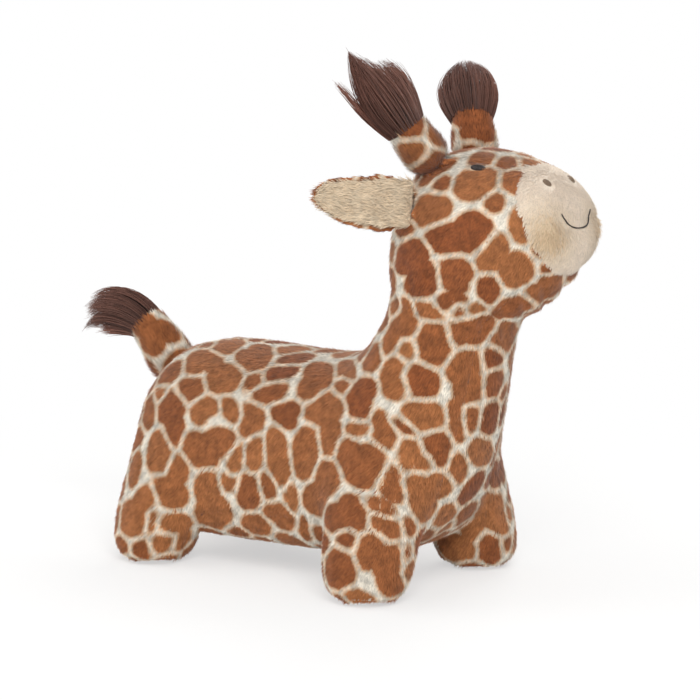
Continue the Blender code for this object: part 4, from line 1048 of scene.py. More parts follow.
@dataclass
class Cover:
    """The body's sewn cover: fifteen pattern pieces, drawn in at their seams."""

    wardrobe: Wardrobe
    long_pile: float = 7.0 * MM
    face_pile: float = 0.35  # how much shorter it is on the face, as a share
    face_x: tuple[float, float] = (0.20, 0.05)  # where the face begins, and over how much
    face_z: tuple[float, float] = (0.36, 0.04)
    muzzle_pile: tuple[float, float] = (4.5, 3.5)  # its length in mm, and what the cheek adds
    muzzle_wild: tuple[float, float] = (0.22, 0.78)  # how far it strays, and what the cheek adds
    bare_edge: float = 2.0 * MM  # over which the pile comes back round a bare place
    seam_depth: float = 1.8 * MM
    seam_reach: float = 7.0 * MM
    crease_depth: float = 2.6 * MM
    throat_height: float = 0.315
    throat_reach: float = 0.045
    throat_start: tuple[float, float] = (0.15, 0.05)  # X where the gathers start, and over how much
    gathers: tuple[float, float, float] = (210.0, 170.0, 60.0)  # waves along X, Y and Z, in radians a metre
    thickness: float = 3.0 * MM
    outer_gap: float = 4.5 * MM  # points farther than this from the bladder are on the outer face
    sewn: float = 0.8 * MM  # corners of neighbours this near to each other become one
    one_face: dict = field(default_factory=lambda: {
        "angle_face_threshold": math.radians(50),
        "angle_shape_threshold": math.radians(60),
    })  # when two triangles become one face
    floor: float = 1.2 * MM  # the cloth reaches no lower
    zip_ends: tuple[float, float] = (-0.12, 0.08)  # X of the gap round the belly zip
    zip_half_width: float = 0.022
    zip_top: float = 0.035
    print_pieces: tuple = (
        *("flank_panel_right", "flank_panel_left", "belly_panel_right", "belly_panel_left", "chest_gusset"),
        *("head_side_right", "head_side_left", "crown_gusset", "jaw_gusset"),
        *("sole_rear_right", "sole_front_right", "sole_rear_left", "sole_front_left"),
    )
    plain_pieces: tuple = ("muzzle_upper", "muzzle_lower")
    # X and Z of the muzzle's curved seam, from the jaw to the crown
    muzzle_seam: tuple = (
        *((0.334, 0.346), (0.332, 0.365), (0.327, 0.384), (0.320, 0.407)),
        *((0.309, 0.424), (0.304, 0.440), (0.292, 0.463)),
    )
    side_half_width: float = 0.02  # the crown and the jaw lie within this of the middle
    side_low: float = 0.352
    crown_low: float = 0.40
    cheek: tuple = (0.336, 0.046, 0.392)  # middle of the fluffy tan cheek, on both sides
    cheek_size: float = 19.0  # mm
    cheek_blur: float = 0.13  # the less, the softer the edge of its colour
    fluffy: tuple[float, float] = (-1.6, 2.2)  # the cheek's share where long pile starts, and over how much

    def names(self) -> tuple:
        """All pattern pieces."""
        return self.print_pieces + self.plain_pieces

    def join_outsides(self) -> bmesh.types.BMesh:
        """The outer faces of the pattern pieces, sewn together. Each face keeps its piece's number."""
        nodes = self.wardrobe.frame["nodes"]
        tree = surface_tree(nodes["air_bladder"].data)
        bm = bmesh.new()
        for number, name in enumerate(self.names()):
            data = nodes[name].data
            outside = [tree.find_nearest(v.co)[3] > self.outer_gap for v in data.vertices]
            corners = {}
            for face in data.polygons:
                if all(outside[i] for i in face.vertices):
                    for i in face.vertices:
                        if i not in corners:
                            corners[i] = bm.verts.new(data.vertices[i].co)
                    made = bm.faces.new([corners[i] for i in face.vertices])
                    made.material_index = number
        bmesh.ops.remove_doubles(bm, verts=bm.verts[:], dist=self.sewn)
        return bm

    def outer_skin(self) -> bpy.types.Mesh:
        """Closes the joined outer faces and rounds them."""
        bm = self.join_outsides()
        rim = [e for e in bm.edges if e.is_boundary and not self.in_zip(e)]
        filled = bmesh.ops.holes_fill(bm, edges=rim, sides=0)["faces"]
        for face in filled:
            beside = [f.material_index for e in face.edges for f in e.link_faces if f is not face]
            face.material_index = max(set(beside), key=beside.count)
        bmesh.ops.triangulate(bm, faces=filled)
        bmesh.ops.join_triangles(bm, faces=bm.faces[:], cmp_materials=True, **self.one_face)
        bmesh.ops.recalc_face_normals(bm, faces=bm.faces[:])
        mesh = bpy.data.meshes.new("outer")
        bm.to_mesh(mesh)
        bm.free()
        for _ in self.names():
            mesh.materials.append(None)
        made = place_object("outer", mesh)
        rounder = made.modifiers.new("rounder", "SUBSURF")
        rounder.levels = rounder.render_levels = 2
        rounded = evaluated(made)
        bpy.data.objects.remove(made)
        return rounded

    def in_zip(self, edge: bmesh.types.BMEdge) -> bool:
        """Whether an edge lies round the belly zip."""
        x, y, z = (edge.verts[0].co + edge.verts[1].co) / 2
        return z < self.zip_top and abs(y) < self.zip_half_width and self.zip_ends[0] < x < self.zip_ends[1]

    def seam_distance(self, mesh: bpy.types.Mesh) -> np.ndarray:
        """How far each point of the skin lies from the nearest seam."""
        points = points_of(mesh)
        first = np.full(len(points), -1)
        seam = np.zeros(len(points), bool)
        for face in mesh.polygons:
            for i in face.vertices:
                if first[i] < 0:
                    first[i] = face.material_index
                elif first[i] != face.material_index:
                    seam[i] = True
        tree = point_tree(points[seam])
        return np.array([tree.find(p)[2] for p in points])

    def shape(self, mesh: bpy.types.Mesh) -> None:
        """Draws the skin in for the pile, in further at the seams, and gathers it under the jaw."""
        points, normals = points_of(mesh), normals_of(mesh)
        gap = self.seam_distance(mesh)
        depth = CLOTH_INSET + self.seam_depth * np.exp(-((gap / self.seam_reach) ** 2))
        x, y, z = points.T
        throat = np.exp(-(((z - self.throat_height) / self.throat_reach) ** 2))
        throat = throat * ramp(x, *self.throat_start)
        fold = np.sin(y * self.gathers[1] + x * self.gathers[0] + z * self.gathers[2])
        depth += self.crease_depth * throat * np.clip(fold, 0, 1)
        points = points - normals * depth[:, None]
        points[:, 2] = np.maximum(points[:, 2], self.floor)
        move_points(mesh, points)

    def cheek_share(self, points: np.ndarray) -> dict:
        """How far places on the muzzle lie inside the tan cheek, softened to a few steps either way."""
        both = np.stack([points[:, 0], np.abs(points[:, 1]), points[:, 2]], -1)
        away = np.linalg.norm(both - np.array(self.cheek), axis=1)
        return {"patch": (self.cheek_size - away / MM) * self.cheek_blur}

    def part(self, mesh: bpy.types.Mesh, number: int) -> bpy.types.Mesh:
        """One pattern piece of the skin, with its attributes."""
        bm = bmesh.new()
        bm.from_mesh(mesh)
        away = [f for f in bm.faces if f.material_index != number]
        bmesh.ops.delete(bm, geom=away, context="FACES")
        made = bpy.data.meshes.new("part")
        bm.to_mesh(made)
        bm.free()
        made.materials.clear()
        return made

    def sheet(self, mesh: bpy.types.Mesh) -> bpy.types.Mesh:
        """A pattern piece with the cloth's thickness and its edges closed."""
        made = place_object("sheet", mesh.copy())
        wall = made.modifiers.new("wall", "SOLIDIFY")
        wall.thickness = self.thickness
        wall.offset = -1.0
        thick = evaluated(made)
        bpy.data.objects.remove(made)
        return thick

    def build(self) -> bpy.types.Mesh:
        """Rounds, parts and shapes the skin, and returns it."""
        skin = self.outer_skin()
        self.part_muzzle(skin)
        self.shape(skin)
        return skin

    def part_muzzle(self, skin: bpy.types.Mesh) -> None:
        """Gives what lies behind the muzzle's curved seam to the head's sides, crown and jaw."""
        edges, heights = zip(*self.muzzle_seam)
        beside = ("head_side_right", "head_side_left", "crown_gusset", "jaw_gusset")
        right, left, crown, jaw = (self.names().index(name) for name in beside)
        for face in skin.polygons:
            x, y, z = face.center
            if face.material_index < len(self.print_pieces) or x > np.interp(z, heights, edges):
                continue
            if abs(y) > self.side_half_width and z > self.side_low:
                face.material_index = right if y < 0 else left
            else:
                face.material_index = crown if z > self.crown_low else jaw

    def dress(self, skin: bpy.types.Mesh, bare: np.ndarray) -> None:
        """Dresses every pattern piece with its cloth, and all but the soles with their pile.

        Args:
            skin: the shaped skin.
            bare: places with their radius, where no pile grows.
        """
        wardrobe, points = self.wardrobe, points_of(skin)
        face = ramp(points[:, 0], *self.face_x) * ramp(points[:, 2], *self.face_z)
        thick = np.ones(len(points))
        for x, y, z, radius in bare:
            thick *= ramp(np.linalg.norm(points - (x, y, z), axis=1), radius, self.bare_edge)
        pile = self.long_pile * (1 - self.face_pile * face)
        wardrobe.mark(skin, LAY_WAY, pile, thick, wardrobe.printed(points))
        for number, name in enumerate(self.print_pieces):
            part = self.part(skin, number)
            cloth = wardrobe.dress(name + "_cloth", self.sheet(part), PRINT_PILE, "body", [name])
            if not name.startswith("sole"):
                wardrobe.coat(name + "_pile", part, PRINT_PILE, "body", COVER_NAP, number + 1)
        cheek = self.cheek_share(points)["patch"]
        fluffy = ramp(cheek, *self.fluffy)
        rewrite(skin, "patch", cheek)
        rewrite(skin, "wild", self.muzzle_wild[0] + self.muzzle_wild[1] * fluffy)
        rewrite(skin, "pile", (self.muzzle_pile[0] + self.muzzle_pile[1] * fluffy) * MM)
        for number, name in enumerate(self.plain_pieces, len(self.print_pieces)):
            part = self.part(skin, number)
            cloth = wardrobe.dress(name + "_cloth", self.sheet(part), MUZZLE_PILE, "body", [name])
            wardrobe.coat(name + "_pile", part, MUZZLE_PILE, "body", MUZZLE_NAP, number + 1, self.cheek_share)


@dataclass(frozen=True)
class Locks:
    """How a tuft's strands gather, seen from its tip, where the tuft's edge is at 1 from the middle."""

    spots: np.ndarray  # where each lock lies
    reach: np.ndarray  # how far each reaches, as a share of the tuft's length
    aside: np.ndarray  # the way in which one lock stands off
    beside: np.ndarray  # how far the others give way to it
    alone: int = -1  # the lock that stands off


@dataclass
class Tuft:
    """A long dark tuft: hundreds of strands that leave a sleeve, swell, and meet in locks."""

    wardrobe: Wardrobe
    name: str
    body: str
    foot: np.ndarray
    way: np.ndarray
    length: float
    root: float
    swell: float
    droop: float = 0.0  # degrees that it bends over its length
    locks: int = 11
    strands: int = 1300
    steps: int = 9
    thickness: float = 0.5 * MM
    blunt: float = 0.0  # 0 is pointed and 1 is round at the tip
    stray: float = 0.26  # how far a strand's tip strays, with the tuft's radius as 1
    seed: int = 3
    apart: float | None = None  # degrees around the tuft where one short lock stands off
    golden_turn: float = 2.39996  # radians from one lock to the next, so that they lie evenly
    outer_short: float = 0.34  # how much less the outermost locks reach in a pointed tuft
    uneven: float = 0.20  # how much less a lock may reach by chance, and half of that in a round tuft
    strand_reach: tuple[float, float] = (0.86, 0.16)  # of a strand in its lock, and what chance adds
    widest: float = 0.5  # share of the length where the tuft is widest
    gather: float = 0.68  # share in which the strands of a lock have met at its tip
    alone_reach: float = 0.80
    # how far the other locks reach, what those away from it lack, and what chance takes
    others_reach: tuple[float, float, float] = (0.97, 0.30, 0.06)
    alone_aside: float = 0.42  # how far the lock that stands off leans out
    others_aside: float = 0.36  # how far the others lean the other way
    give_way: tuple[float, float] = (0.3, 0.8)  # how many locks lean away from it, and the most that one does
    outer_power: float = 1.5  # the more, the fewer of the outer locks are short
    # at a pointed tip, and what a round one adds: how fast it narrows, and how far out its locks lie
    narrowing: tuple[float, float] = (0.75, -0.35)
    lock_spread: tuple[float, float] = (0.75, 0.2)
    alone_narrow: float = 0.35  # how much the lock that stands off narrows to its tip
    lock_tone: float = 0.37  # step of the tone from one lock to the next
    along: tuple[float, float] = (0.25, 0.75)  # where a strand's foot lies in the painted shade that darkens the roots, and what its length adds
    stray_chance: float = 0.04  # share of the strands that reach past their lock
    stray_reach: float = 1.06

    def spine(self, share: np.ndarray) -> tuple[np.ndarray, np.ndarray]:
        """The middle line and its way at shares of the length."""
        bend, way = math.radians(self.droop) * share, self.way[None]
        side = np.cross(self.way, (0.0, 1.0, 0.0))
        side = (side / np.linalg.norm(side))[None]
        turn = way * np.cos(bend)[:, None] + side * np.sin(bend)[:, None]
        if self.droop == 0:
            return self.foot + way * (self.length * share)[:, None], turn
        arc = self.length / math.radians(self.droop)
        return self.foot + arc * (way * np.sin(bend)[:, None] + side * (1 - np.cos(bend))[:, None]), turn

    def lay_locks(self, chance: np.random.Generator) -> Locks:
        """Lays the locks round the middle line, the outer ones shorter, and one apart if the tuft has it."""
        number, uneven = np.arange(self.locks), self.uneven - self.uneven / 2 * self.blunt
        angle = number * self.golden_turn + chance.random(self.locks) * 0.5
        out = np.sqrt((number + 0.5) / self.locks)
        short = self.outer_short * out**self.outer_power * (1 - self.blunt)
        reach = 1.0 - short - uneven * chance.random(self.locks)
        spots = np.stack([out * np.cos(angle), out * np.sin(angle)], -1)
        if self.apart is None:
            return Locks(spots, reach, np.zeros(2), np.zeros(self.locks))
        turned = math.radians(self.apart)
        aside = np.array([math.cos(turned), math.sin(turned)])
        toward = spots @ aside
        alone = int(toward.argmax())
        most, lack, less = self.others_reach
        reach = most - lack * np.clip(0.25 - toward, 0.0, 1.0) - less * chance.random(self.locks)
        reach[alone] = self.alone_reach
        many, limit = self.give_way
        return Locks(spots, reach, aside, np.clip(toward + many, 0.0, limit), alone)

    def strand(self, chance: np.random.Generator, locks: Locks) -> tuple[np.ndarray, float]:
        """Draws one strand.

        Args:
            chance: gives its place and its strays.
            locks: how the tuft gathers.

        Returns:
            The places of its steps, and its random number.
        """
        share = np.linspace(0.0, 1.0, self.steps)
        angle, out = chance.random() * math.tau, math.sqrt(chance.random())
        start = np.array([out * math.cos(angle), out * math.sin(angle)])
        lock = int(((locks.spots - start) ** 2).sum(1).argmin())
        reach = locks.reach[lock] * (self.strand_reach[0] + self.strand_reach[1] * chance.random())
        if chance.random() < self.stray_chance:
            reach *= self.stray_reach
        at = share * reach
        centre, turn = self.spine(at)
        rise = np.sin(np.pi * np.minimum(1.0, at / self.widest) / 2)
        past = np.clip((at - self.widest) / (1 - self.widest), 0.0, 0.999)
        fall = np.cos(np.pi / 2 * past) ** (self.narrowing[0] + self.narrowing[1] * self.blunt)
        radius = self.root + (self.swell - self.root) * rise
        gather = (at**2.0 * self.gather)[:, None]
        spread = self.lock_spread[0] + self.lock_spread[1] * self.blunt
        flat = start[None] * (1 - gather) + locks.spots[lock][None] * gather * spread
        flat = flat + (chance.random(2) - 0.5) * self.stray * share[:, None] ** 1.5
        if lock == locks.alone:
            flat = flat * (1 - self.alone_narrow * at[:, None])
            flat = flat + locks.aside * self.alone_aside * (at**2)[:, None]
        else:
            radius = radius * fall
            flat = flat - locks.aside * self.others_aside * locks.beside[lock] * at[:, None]
        first = unit(np.cross(turn, (0.0, 1.0, 0.0)))
        second = np.cross(turn, first)
        toss = chance.random() * 0.5 + 0.5 * ((lock * self.lock_tone) % 1.0)
        return centre + (first * flat[:, :1] + second * flat[:, 1:]) * radius[:, None], toss

    def build(self) -> None:
        """Grows the tuft as thin tapered tubes."""
        chance = np.random.default_rng(self.seed)
        locks = self.lay_locks(chance)
        paths, toss = zip(*(self.strand(chance, locks) for _ in range(self.strands)))
        along = self.along[0] + self.along[1] * np.linspace(0.0, 1.0, self.steps)
        finish = self.wardrobe.finish(DARK_PILE)
        made = self.wardrobe.spinner.spin(
            self.name + "_strands", np.array(paths), along, np.array(toss), self.thickness, finish
        )
        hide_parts(self.name)
        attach(made, self.body)


@dataclass
class Sleeve:
    """A printed sleeve with a tuft in its end: the tail or a horn."""

    wardrobe: Wardrobe
    name: str
    pivot: np.ndarray
    way: np.ndarray
    length: float
    tuft: Tuft
    voxel: float = 2.0 * MM
    inset: float = -2.6 * MM  # the filling swells the cloth
    pile: float = 8.0 * MM
    bends: tuple[float, float] = (-3, 16)  # mm past the seam between which it bends
    end_depth: float = 3 * MM  # no pile grows on the flat end round the tuft
    end_facing: float = 0.8
    seed: int = 40

    @property
    def root(self) -> Root:
        """Where the sleeve bends."""
        start, end = (tuple(self.pivot + self.way * reach * MM) for reach in self.bends)
        return Root(self.name, start, end)

    @property
    def nodes(self) -> list[str]:
        """The CAD nodes that the sleeve stands for."""
        return [self.name + "_cover", self.name + "_filling"]

    def shape(self) -> bpy.types.Mesh:
        """The sleeve's cloth with its filling, as one rounded form."""
        return self.wardrobe.soft_copy(self.nodes, self.voxel, self.inset, rounds=6)

    def dress(self, mesh: bpy.types.Mesh) -> None:
        """Prints the sleeve, grows its pile and its tuft."""
        wardrobe, points = self.wardrobe, points_of(mesh)
        height = (points - self.pivot) @ self.way
        facing = normals_of(mesh) @ self.way > self.end_facing
        thick = np.where((height > self.length - self.end_depth) & facing, 0.0, 1.0)
        wardrobe.mark(mesh, self.way, self.pile, thick, wardrobe.printed(points))
        cloth = wardrobe.dress(self.name + "_cloth", mesh, PRINT_PILE, self.root, self.nodes)
        wardrobe.coat(self.name + "_pile", mesh, PRINT_PILE, self.root, SLEEVE_NAP, self.seed)
        self.tuft.build()


@dataclass
class Ear:
    """One ear: a printed shell and a long-pile lining."""

    wardrobe: Wardrobe
    side: Side
    pivot: np.ndarray
    voxel: float = 1.6 * MM
    inset: float = 0.6 * MM
    shell_pile: float = 6.5 * MM
    lining_pile: float = 9.0 * MM
    lining_pull: float = 24.0 * MM  # how far the lining's root is drawn over the head
    bends: tuple[float, float] = (-6, 16)  # mm past the seam between which it bends
    bald_side: tuple[float, float] = (1.2, 2.0)  # thins the shell's pile where it faces as the lining does
    out_way: tuple = (-0.70, 0.70, 0.0)  # from the left ear's root to its tip
    front_way: tuple = (0.60, 0.70, 0.32)  # the way that the left lining faces
    # mm from the root, with how much wider the ear is there than its solid
    widths: tuple = (
        *((-9, 1.35), (0, 1.35), (10, 1.25), (22, 1.03)),
        *((40, 0.88), (60, 0.92), (80, 1.12), (96, 1.2)),
    )
    root_reach: float = 0.034  # how far along the ear the pull on its root is felt
    root_lift: float = 0.12  # share of that pull by which the root comes forwards

    @property
    def outward(self) -> np.ndarray:
        """The way from the ear's root to its tip."""
        return unit(np.array([self.out_way]) * (1, self.side.value, 1))[0]

    @property
    def front(self) -> np.ndarray:
        """The way that the lining faces."""
        return unit(np.array([self.front_way]) * (1, self.side.value, 1))[0]

    @property
    def root(self) -> Root:
        """Where the ear bends: its lining's root stays on the head."""
        start, end = (tuple(self.pivot + self.outward * reach * MM) for reach in self.bends)
        return Root("ear_" + self.side.word, start, end)

    def shape(self) -> bpy.types.Mesh:
        """The shell as a rounded closed form."""
        shell = self.wardrobe.soft_copy(["ear_shell_" + self.side.word], self.voxel, self.inset, rounds=4)
        return self.fatten(shell, 0.0)

    def fatten(self, mesh: bpy.types.Mesh, pull: float) -> bpy.types.Mesh:
        """Widens the ear at its root, where the seams of the real one spread.

        Args:
            mesh: the shell or the lining.
            pull: how far the root is drawn over the head.

        Returns:
            The same mesh.
        """
        points = points_of(mesh)
        across = unit(np.cross(self.outward, self.front)[None])[0]
        away = points - self.pivot
        along = away @ self.outward
        near = np.exp(-((np.clip(along, 0, 1) / self.root_reach) ** 2))
        share = np.interp(along / MM, *zip(*self.widths)) - 1
        points += across * ((away @ across) * share)[:, None] - self.outward * (pull * near)[:, None]
        points += self.front * (pull * self.root_lift * near)[:, None]
        move_points(mesh, points)
        return mesh

    def dress(self, shell: bpy.types.Mesh) -> None:
        """Prints the shell and grows both piles."""
        wardrobe, word = self.wardrobe, self.side.word
        bald = np.clip(normals_of(shell) @ self.front, 0, 1)
        thick = np.clip(self.bald_side[0] - self.bald_side[1] * bald, 0.0, 1.0)
        wardrobe.mark(shell, self.outward, self.shell_pile, thick, wardrobe.printed(points_of(shell)))
        lining = wardrobe.soft_copy(["ear_lining_" + word], self.voxel, -self.inset, rounds=4)
        lining = self.fatten(lining, self.lining_pull)
        wardrobe.mark(lining, self.outward, self.lining_pile, 1.0, {"patch": 0.0, "shade": 0.0})
        layers = (("shell", shell, PRINT_PILE, EAR_NAP, 60), ("lining", lining, CREAM_PILE, LINING_NAP, 70))
        for layer, mesh, kind, nap, seed in layers:
            name = "ear_%s_%s" % (layer, word)
            cloth = wardrobe.dress(name + "_cloth", mesh, kind, self.root, [name])
            wardrobe.coat(name + "_pile", mesh, kind, self.root, nap, seed)


@dataclass
class Face:
    """The stitched face: satin-stitch eyes and nostrils over low pads, and a smile of twisted thread."""

    wardrobe: Wardrobe
    eye: tuple[float, float] = (8.6 * MM, 4.4 * MM)  # half length and half height
    eye_shift: float = -2.2 * MM  # along the eye, from the middle of its solid
    nostril: tuple[float, float] = (5.2 * MM, 3.7 * MM)
    stitch: float = 0.42 * MM  # from one thread to the next
    thread: float = 0.34 * MM  # radius of a satin thread
    pad_height: float = 2.6  # mm
    pad_sunk: float = 0.3 * MM  # how far a pad's rim lies in the cloth
    bare_rim: float = 1.2 * MM  # round a pad, where no pile grows
    bare_spots: int = 7  # in a row under a pad
    bare_row: float = 0.75  # how far out the last of them lies
    bare_size: tuple[float, float] = (1.25, 0.5)  # of a spot over the pad's, and what the last one lacks
    bare_smile: float = 0.8 * MM
    satin_end: float = 0.985  # how far out the last thread of a pad lies
    satin_steps: int = 9
    arch: tuple[float, float] = (0.6, 0.7)  # the less, the fuller a pad is across and along
    flat_along: float = 0.4  # under 0.5, so that a thread keeps its thickness
    smile_front: tuple[float, float] = (0.35, 0.010)  # X of its middle, and how far behind it the ends are
    smile_half: float = 26.5 * MM
    smile_low: float = 0.4015  # height of its lowest place
    smile_rise: float = 14.0 * MM
    smile_power: float = 3.2  # the more, the flatter its middle and the steeper its ends
    smile_points: int = 49
    ply: float = 0.42  # from the middle of the smile's thread to that of each of its two plies, in mm
    ply_radius: float = 0.46 * MM
    ply_lift: float = 1.3  # of the thread over the cloth, in mm
    ply_turns: int = 25
    ply_steps: int = 8  # of a ply for each point of the smile's line
    ply_tones: tuple[float, float] = (0.3, 0.7)
    skin: BVHTree | None = None

    def find_skin(self, skin: bpy.types.Mesh) -> None:
        """Keeps the cloth's surface, to lay the stitches on."""
        self.skin = surface_tree(skin)

    def pads(self) -> list[tuple[str, tuple[float, float], float]]:
        """Each satin pad's node, size and shift."""
        rows = []
        for side in Side:
            rows.append(("eye_" + side.word, self.eye, self.eye_shift))
            rows.append(("nostril_" + side.word, self.nostril, 0.0))
        return rows

    def pad(self, name: str, shift: float) -> tuple[np.ndarray, np.ndarray, np.ndarray, np.ndarray]:
        """Where a satin pad lies on the cloth.

        Args:
            name: the CAD node that it stands for.
            shift: how far it moves along its long way.

        Returns:
            Its middle, its long way, its short way and the way out.
        """
        points = points_of(self.wardrobe.frame["nodes"][name].data)
        middle = points.mean(0)
        ways = np.linalg.svd(points - middle)[2]
        long = ways[0] * np.sign(ways[0][0])
        spot, out, _, _ = self.skin.find_nearest(Vector(middle + long * shift))
        out = np.array(out)
        long = unit((long - out * (long @ out))[None])[0]
        return np.array(spot), long, np.cross(out, long), out

    def smile(self) -> np.ndarray:
        """The smile's line on the cloth."""
        share = np.linspace(-1.0, 1.0, self.smile_points)
        rise = self.smile_rise * np.abs(share) ** self.smile_power
        front = self.smile_front[0] - self.smile_front[1] * share**2
        guess = np.stack([front, self.smile_half * share, self.smile_low + rise], -1)
        return np.array([self.skin.find_nearest(Vector(p))[0] for p in guess])

    def bare_places(self) -> np.ndarray:
        """Where no pile grows: under each stitched piece, as X, Y, Z and radius."""
        rows = []
        for name, (half, low), shift in self.pads():
            middle, long, _, _ = self.pad(name, shift)
            for share in np.linspace(-self.bare_row, self.bare_row, self.bare_spots):
                radius = low * (self.bare_size[0] - self.bare_size[1] * abs(share)) + self.bare_rim
                rows.append((*(middle + long * half * share), radius))
        rows += [(*p, self.bare_smile) for p in self.smile()[::2]]
        return np.array(rows)

    def satin(self, name: str, size: tuple[float, float], shift: float, kind: Thread) -> None:
        """Lays parallel threads over a low pad."""
        middle, long, short, out = self.pad(name, shift)
        count = int(2 * size[0] / self.stitch)
        place = np.linspace(-self.satin_end, self.satin_end, count)
        half = np.sqrt(1 - place**2)
        across = np.linspace(-1.0, 1.0, self.satin_steps)
        arch = (1 - across**2)[None] ** self.arch[0] * half[:, None] ** self.arch[1]
        paths = middle + long * (place * size[0])[:, None, None]
        paths = paths + short * (half[:, None] * across[None] * size[1])[..., None]
        paths = paths + out * (arch * self.pad_height * MM - self.pad_sunk)[..., None]
        self.sew(name + "_satin", name, paths, np.random.default_rng(5).random(count), self.thread, kind)

    def twist(self) -> None:
        """Lays the smile's thread, two plies that turn round each other."""
        line = self.smile()
        turn = np.linspace(0, 2 * self.ply_turns * math.pi, self.ply_steps * len(line))
        along = np.linspace(0, 1, len(turn))
        dense = np.stack([np.interp(along, np.linspace(0, 1, len(line)), column) for column in line.T], -1)
        out = np.array([self.skin.find_nearest(Vector(p))[1] for p in dense])
        side = unit(np.cross(out, np.gradient(dense, axis=0)))
        paths = []
        for angle in (turn, turn + math.pi):
            round_it = out * np.cos(angle)[:, None] + side * np.sin(angle)[:, None]
            paths.append(dense + round_it * self.ply * MM + out * self.ply_lift * MM)
        toss = np.array(self.ply_tones)
        self.sew("mouth_thread", "mouth_stitch", np.array(paths), toss, self.ply_radius, DARK_THREAD)

    def sew(
        self, name: str, node: str, paths: np.ndarray, toss: np.ndarray, radius: float, kind: Thread
    ) -> None:
        """Makes threads that stand for a node on the body.

        Args:
            name: the new piece's name.
            node: the CAD node.
            paths: for each thread the places of its steps.
            toss: a number from 0 to 1 for each thread.
            radius: a thread's.
            kind: its finish.
        """
        along = np.full(paths.shape[1], self.flat_along)
        made = self.wardrobe.spinner.spin(name, paths, along, toss, radius, self.wardrobe.finish(kind))
        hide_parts(node)
        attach(made, "body")

    def dress(self) -> None:
        """Stitches the eyes, the nostrils and the smile."""
        for name, size, shift in self.pads():
            self.satin(name, size, shift, DARK_THREAD if name.startswith("eye") else TAUPE_THREAD)
        self.twist()


@dataclass
class Underside:
    """What the cover hides or has beneath it: the air bladder, its valve and the belly zip."""

    wardrobe: Wardrobe

    def dress(self) -> None:
        """Gives each CAD node its finish."""
        kinds = {
            "air_bladder": BLADDER_RUBBER,
            "valve_seat": VALVE_RUBBER,
            "valve_plug": VALVE_RUBBER,
            "zip_tape_right": TwillTape(),
            "zip_tape_left": TwillTape(),
            "zip_end_stop": ZIP_PLASTIC,
            "zip_slider": ZIP_METAL,
            "zip_pull": ZIP_METAL,
        }
        for name, kind in kinds.items():
            for slot in self.wardrobe.frame["nodes"][name].material_slots:
                slot.material = self.wardrobe.finish(kind)


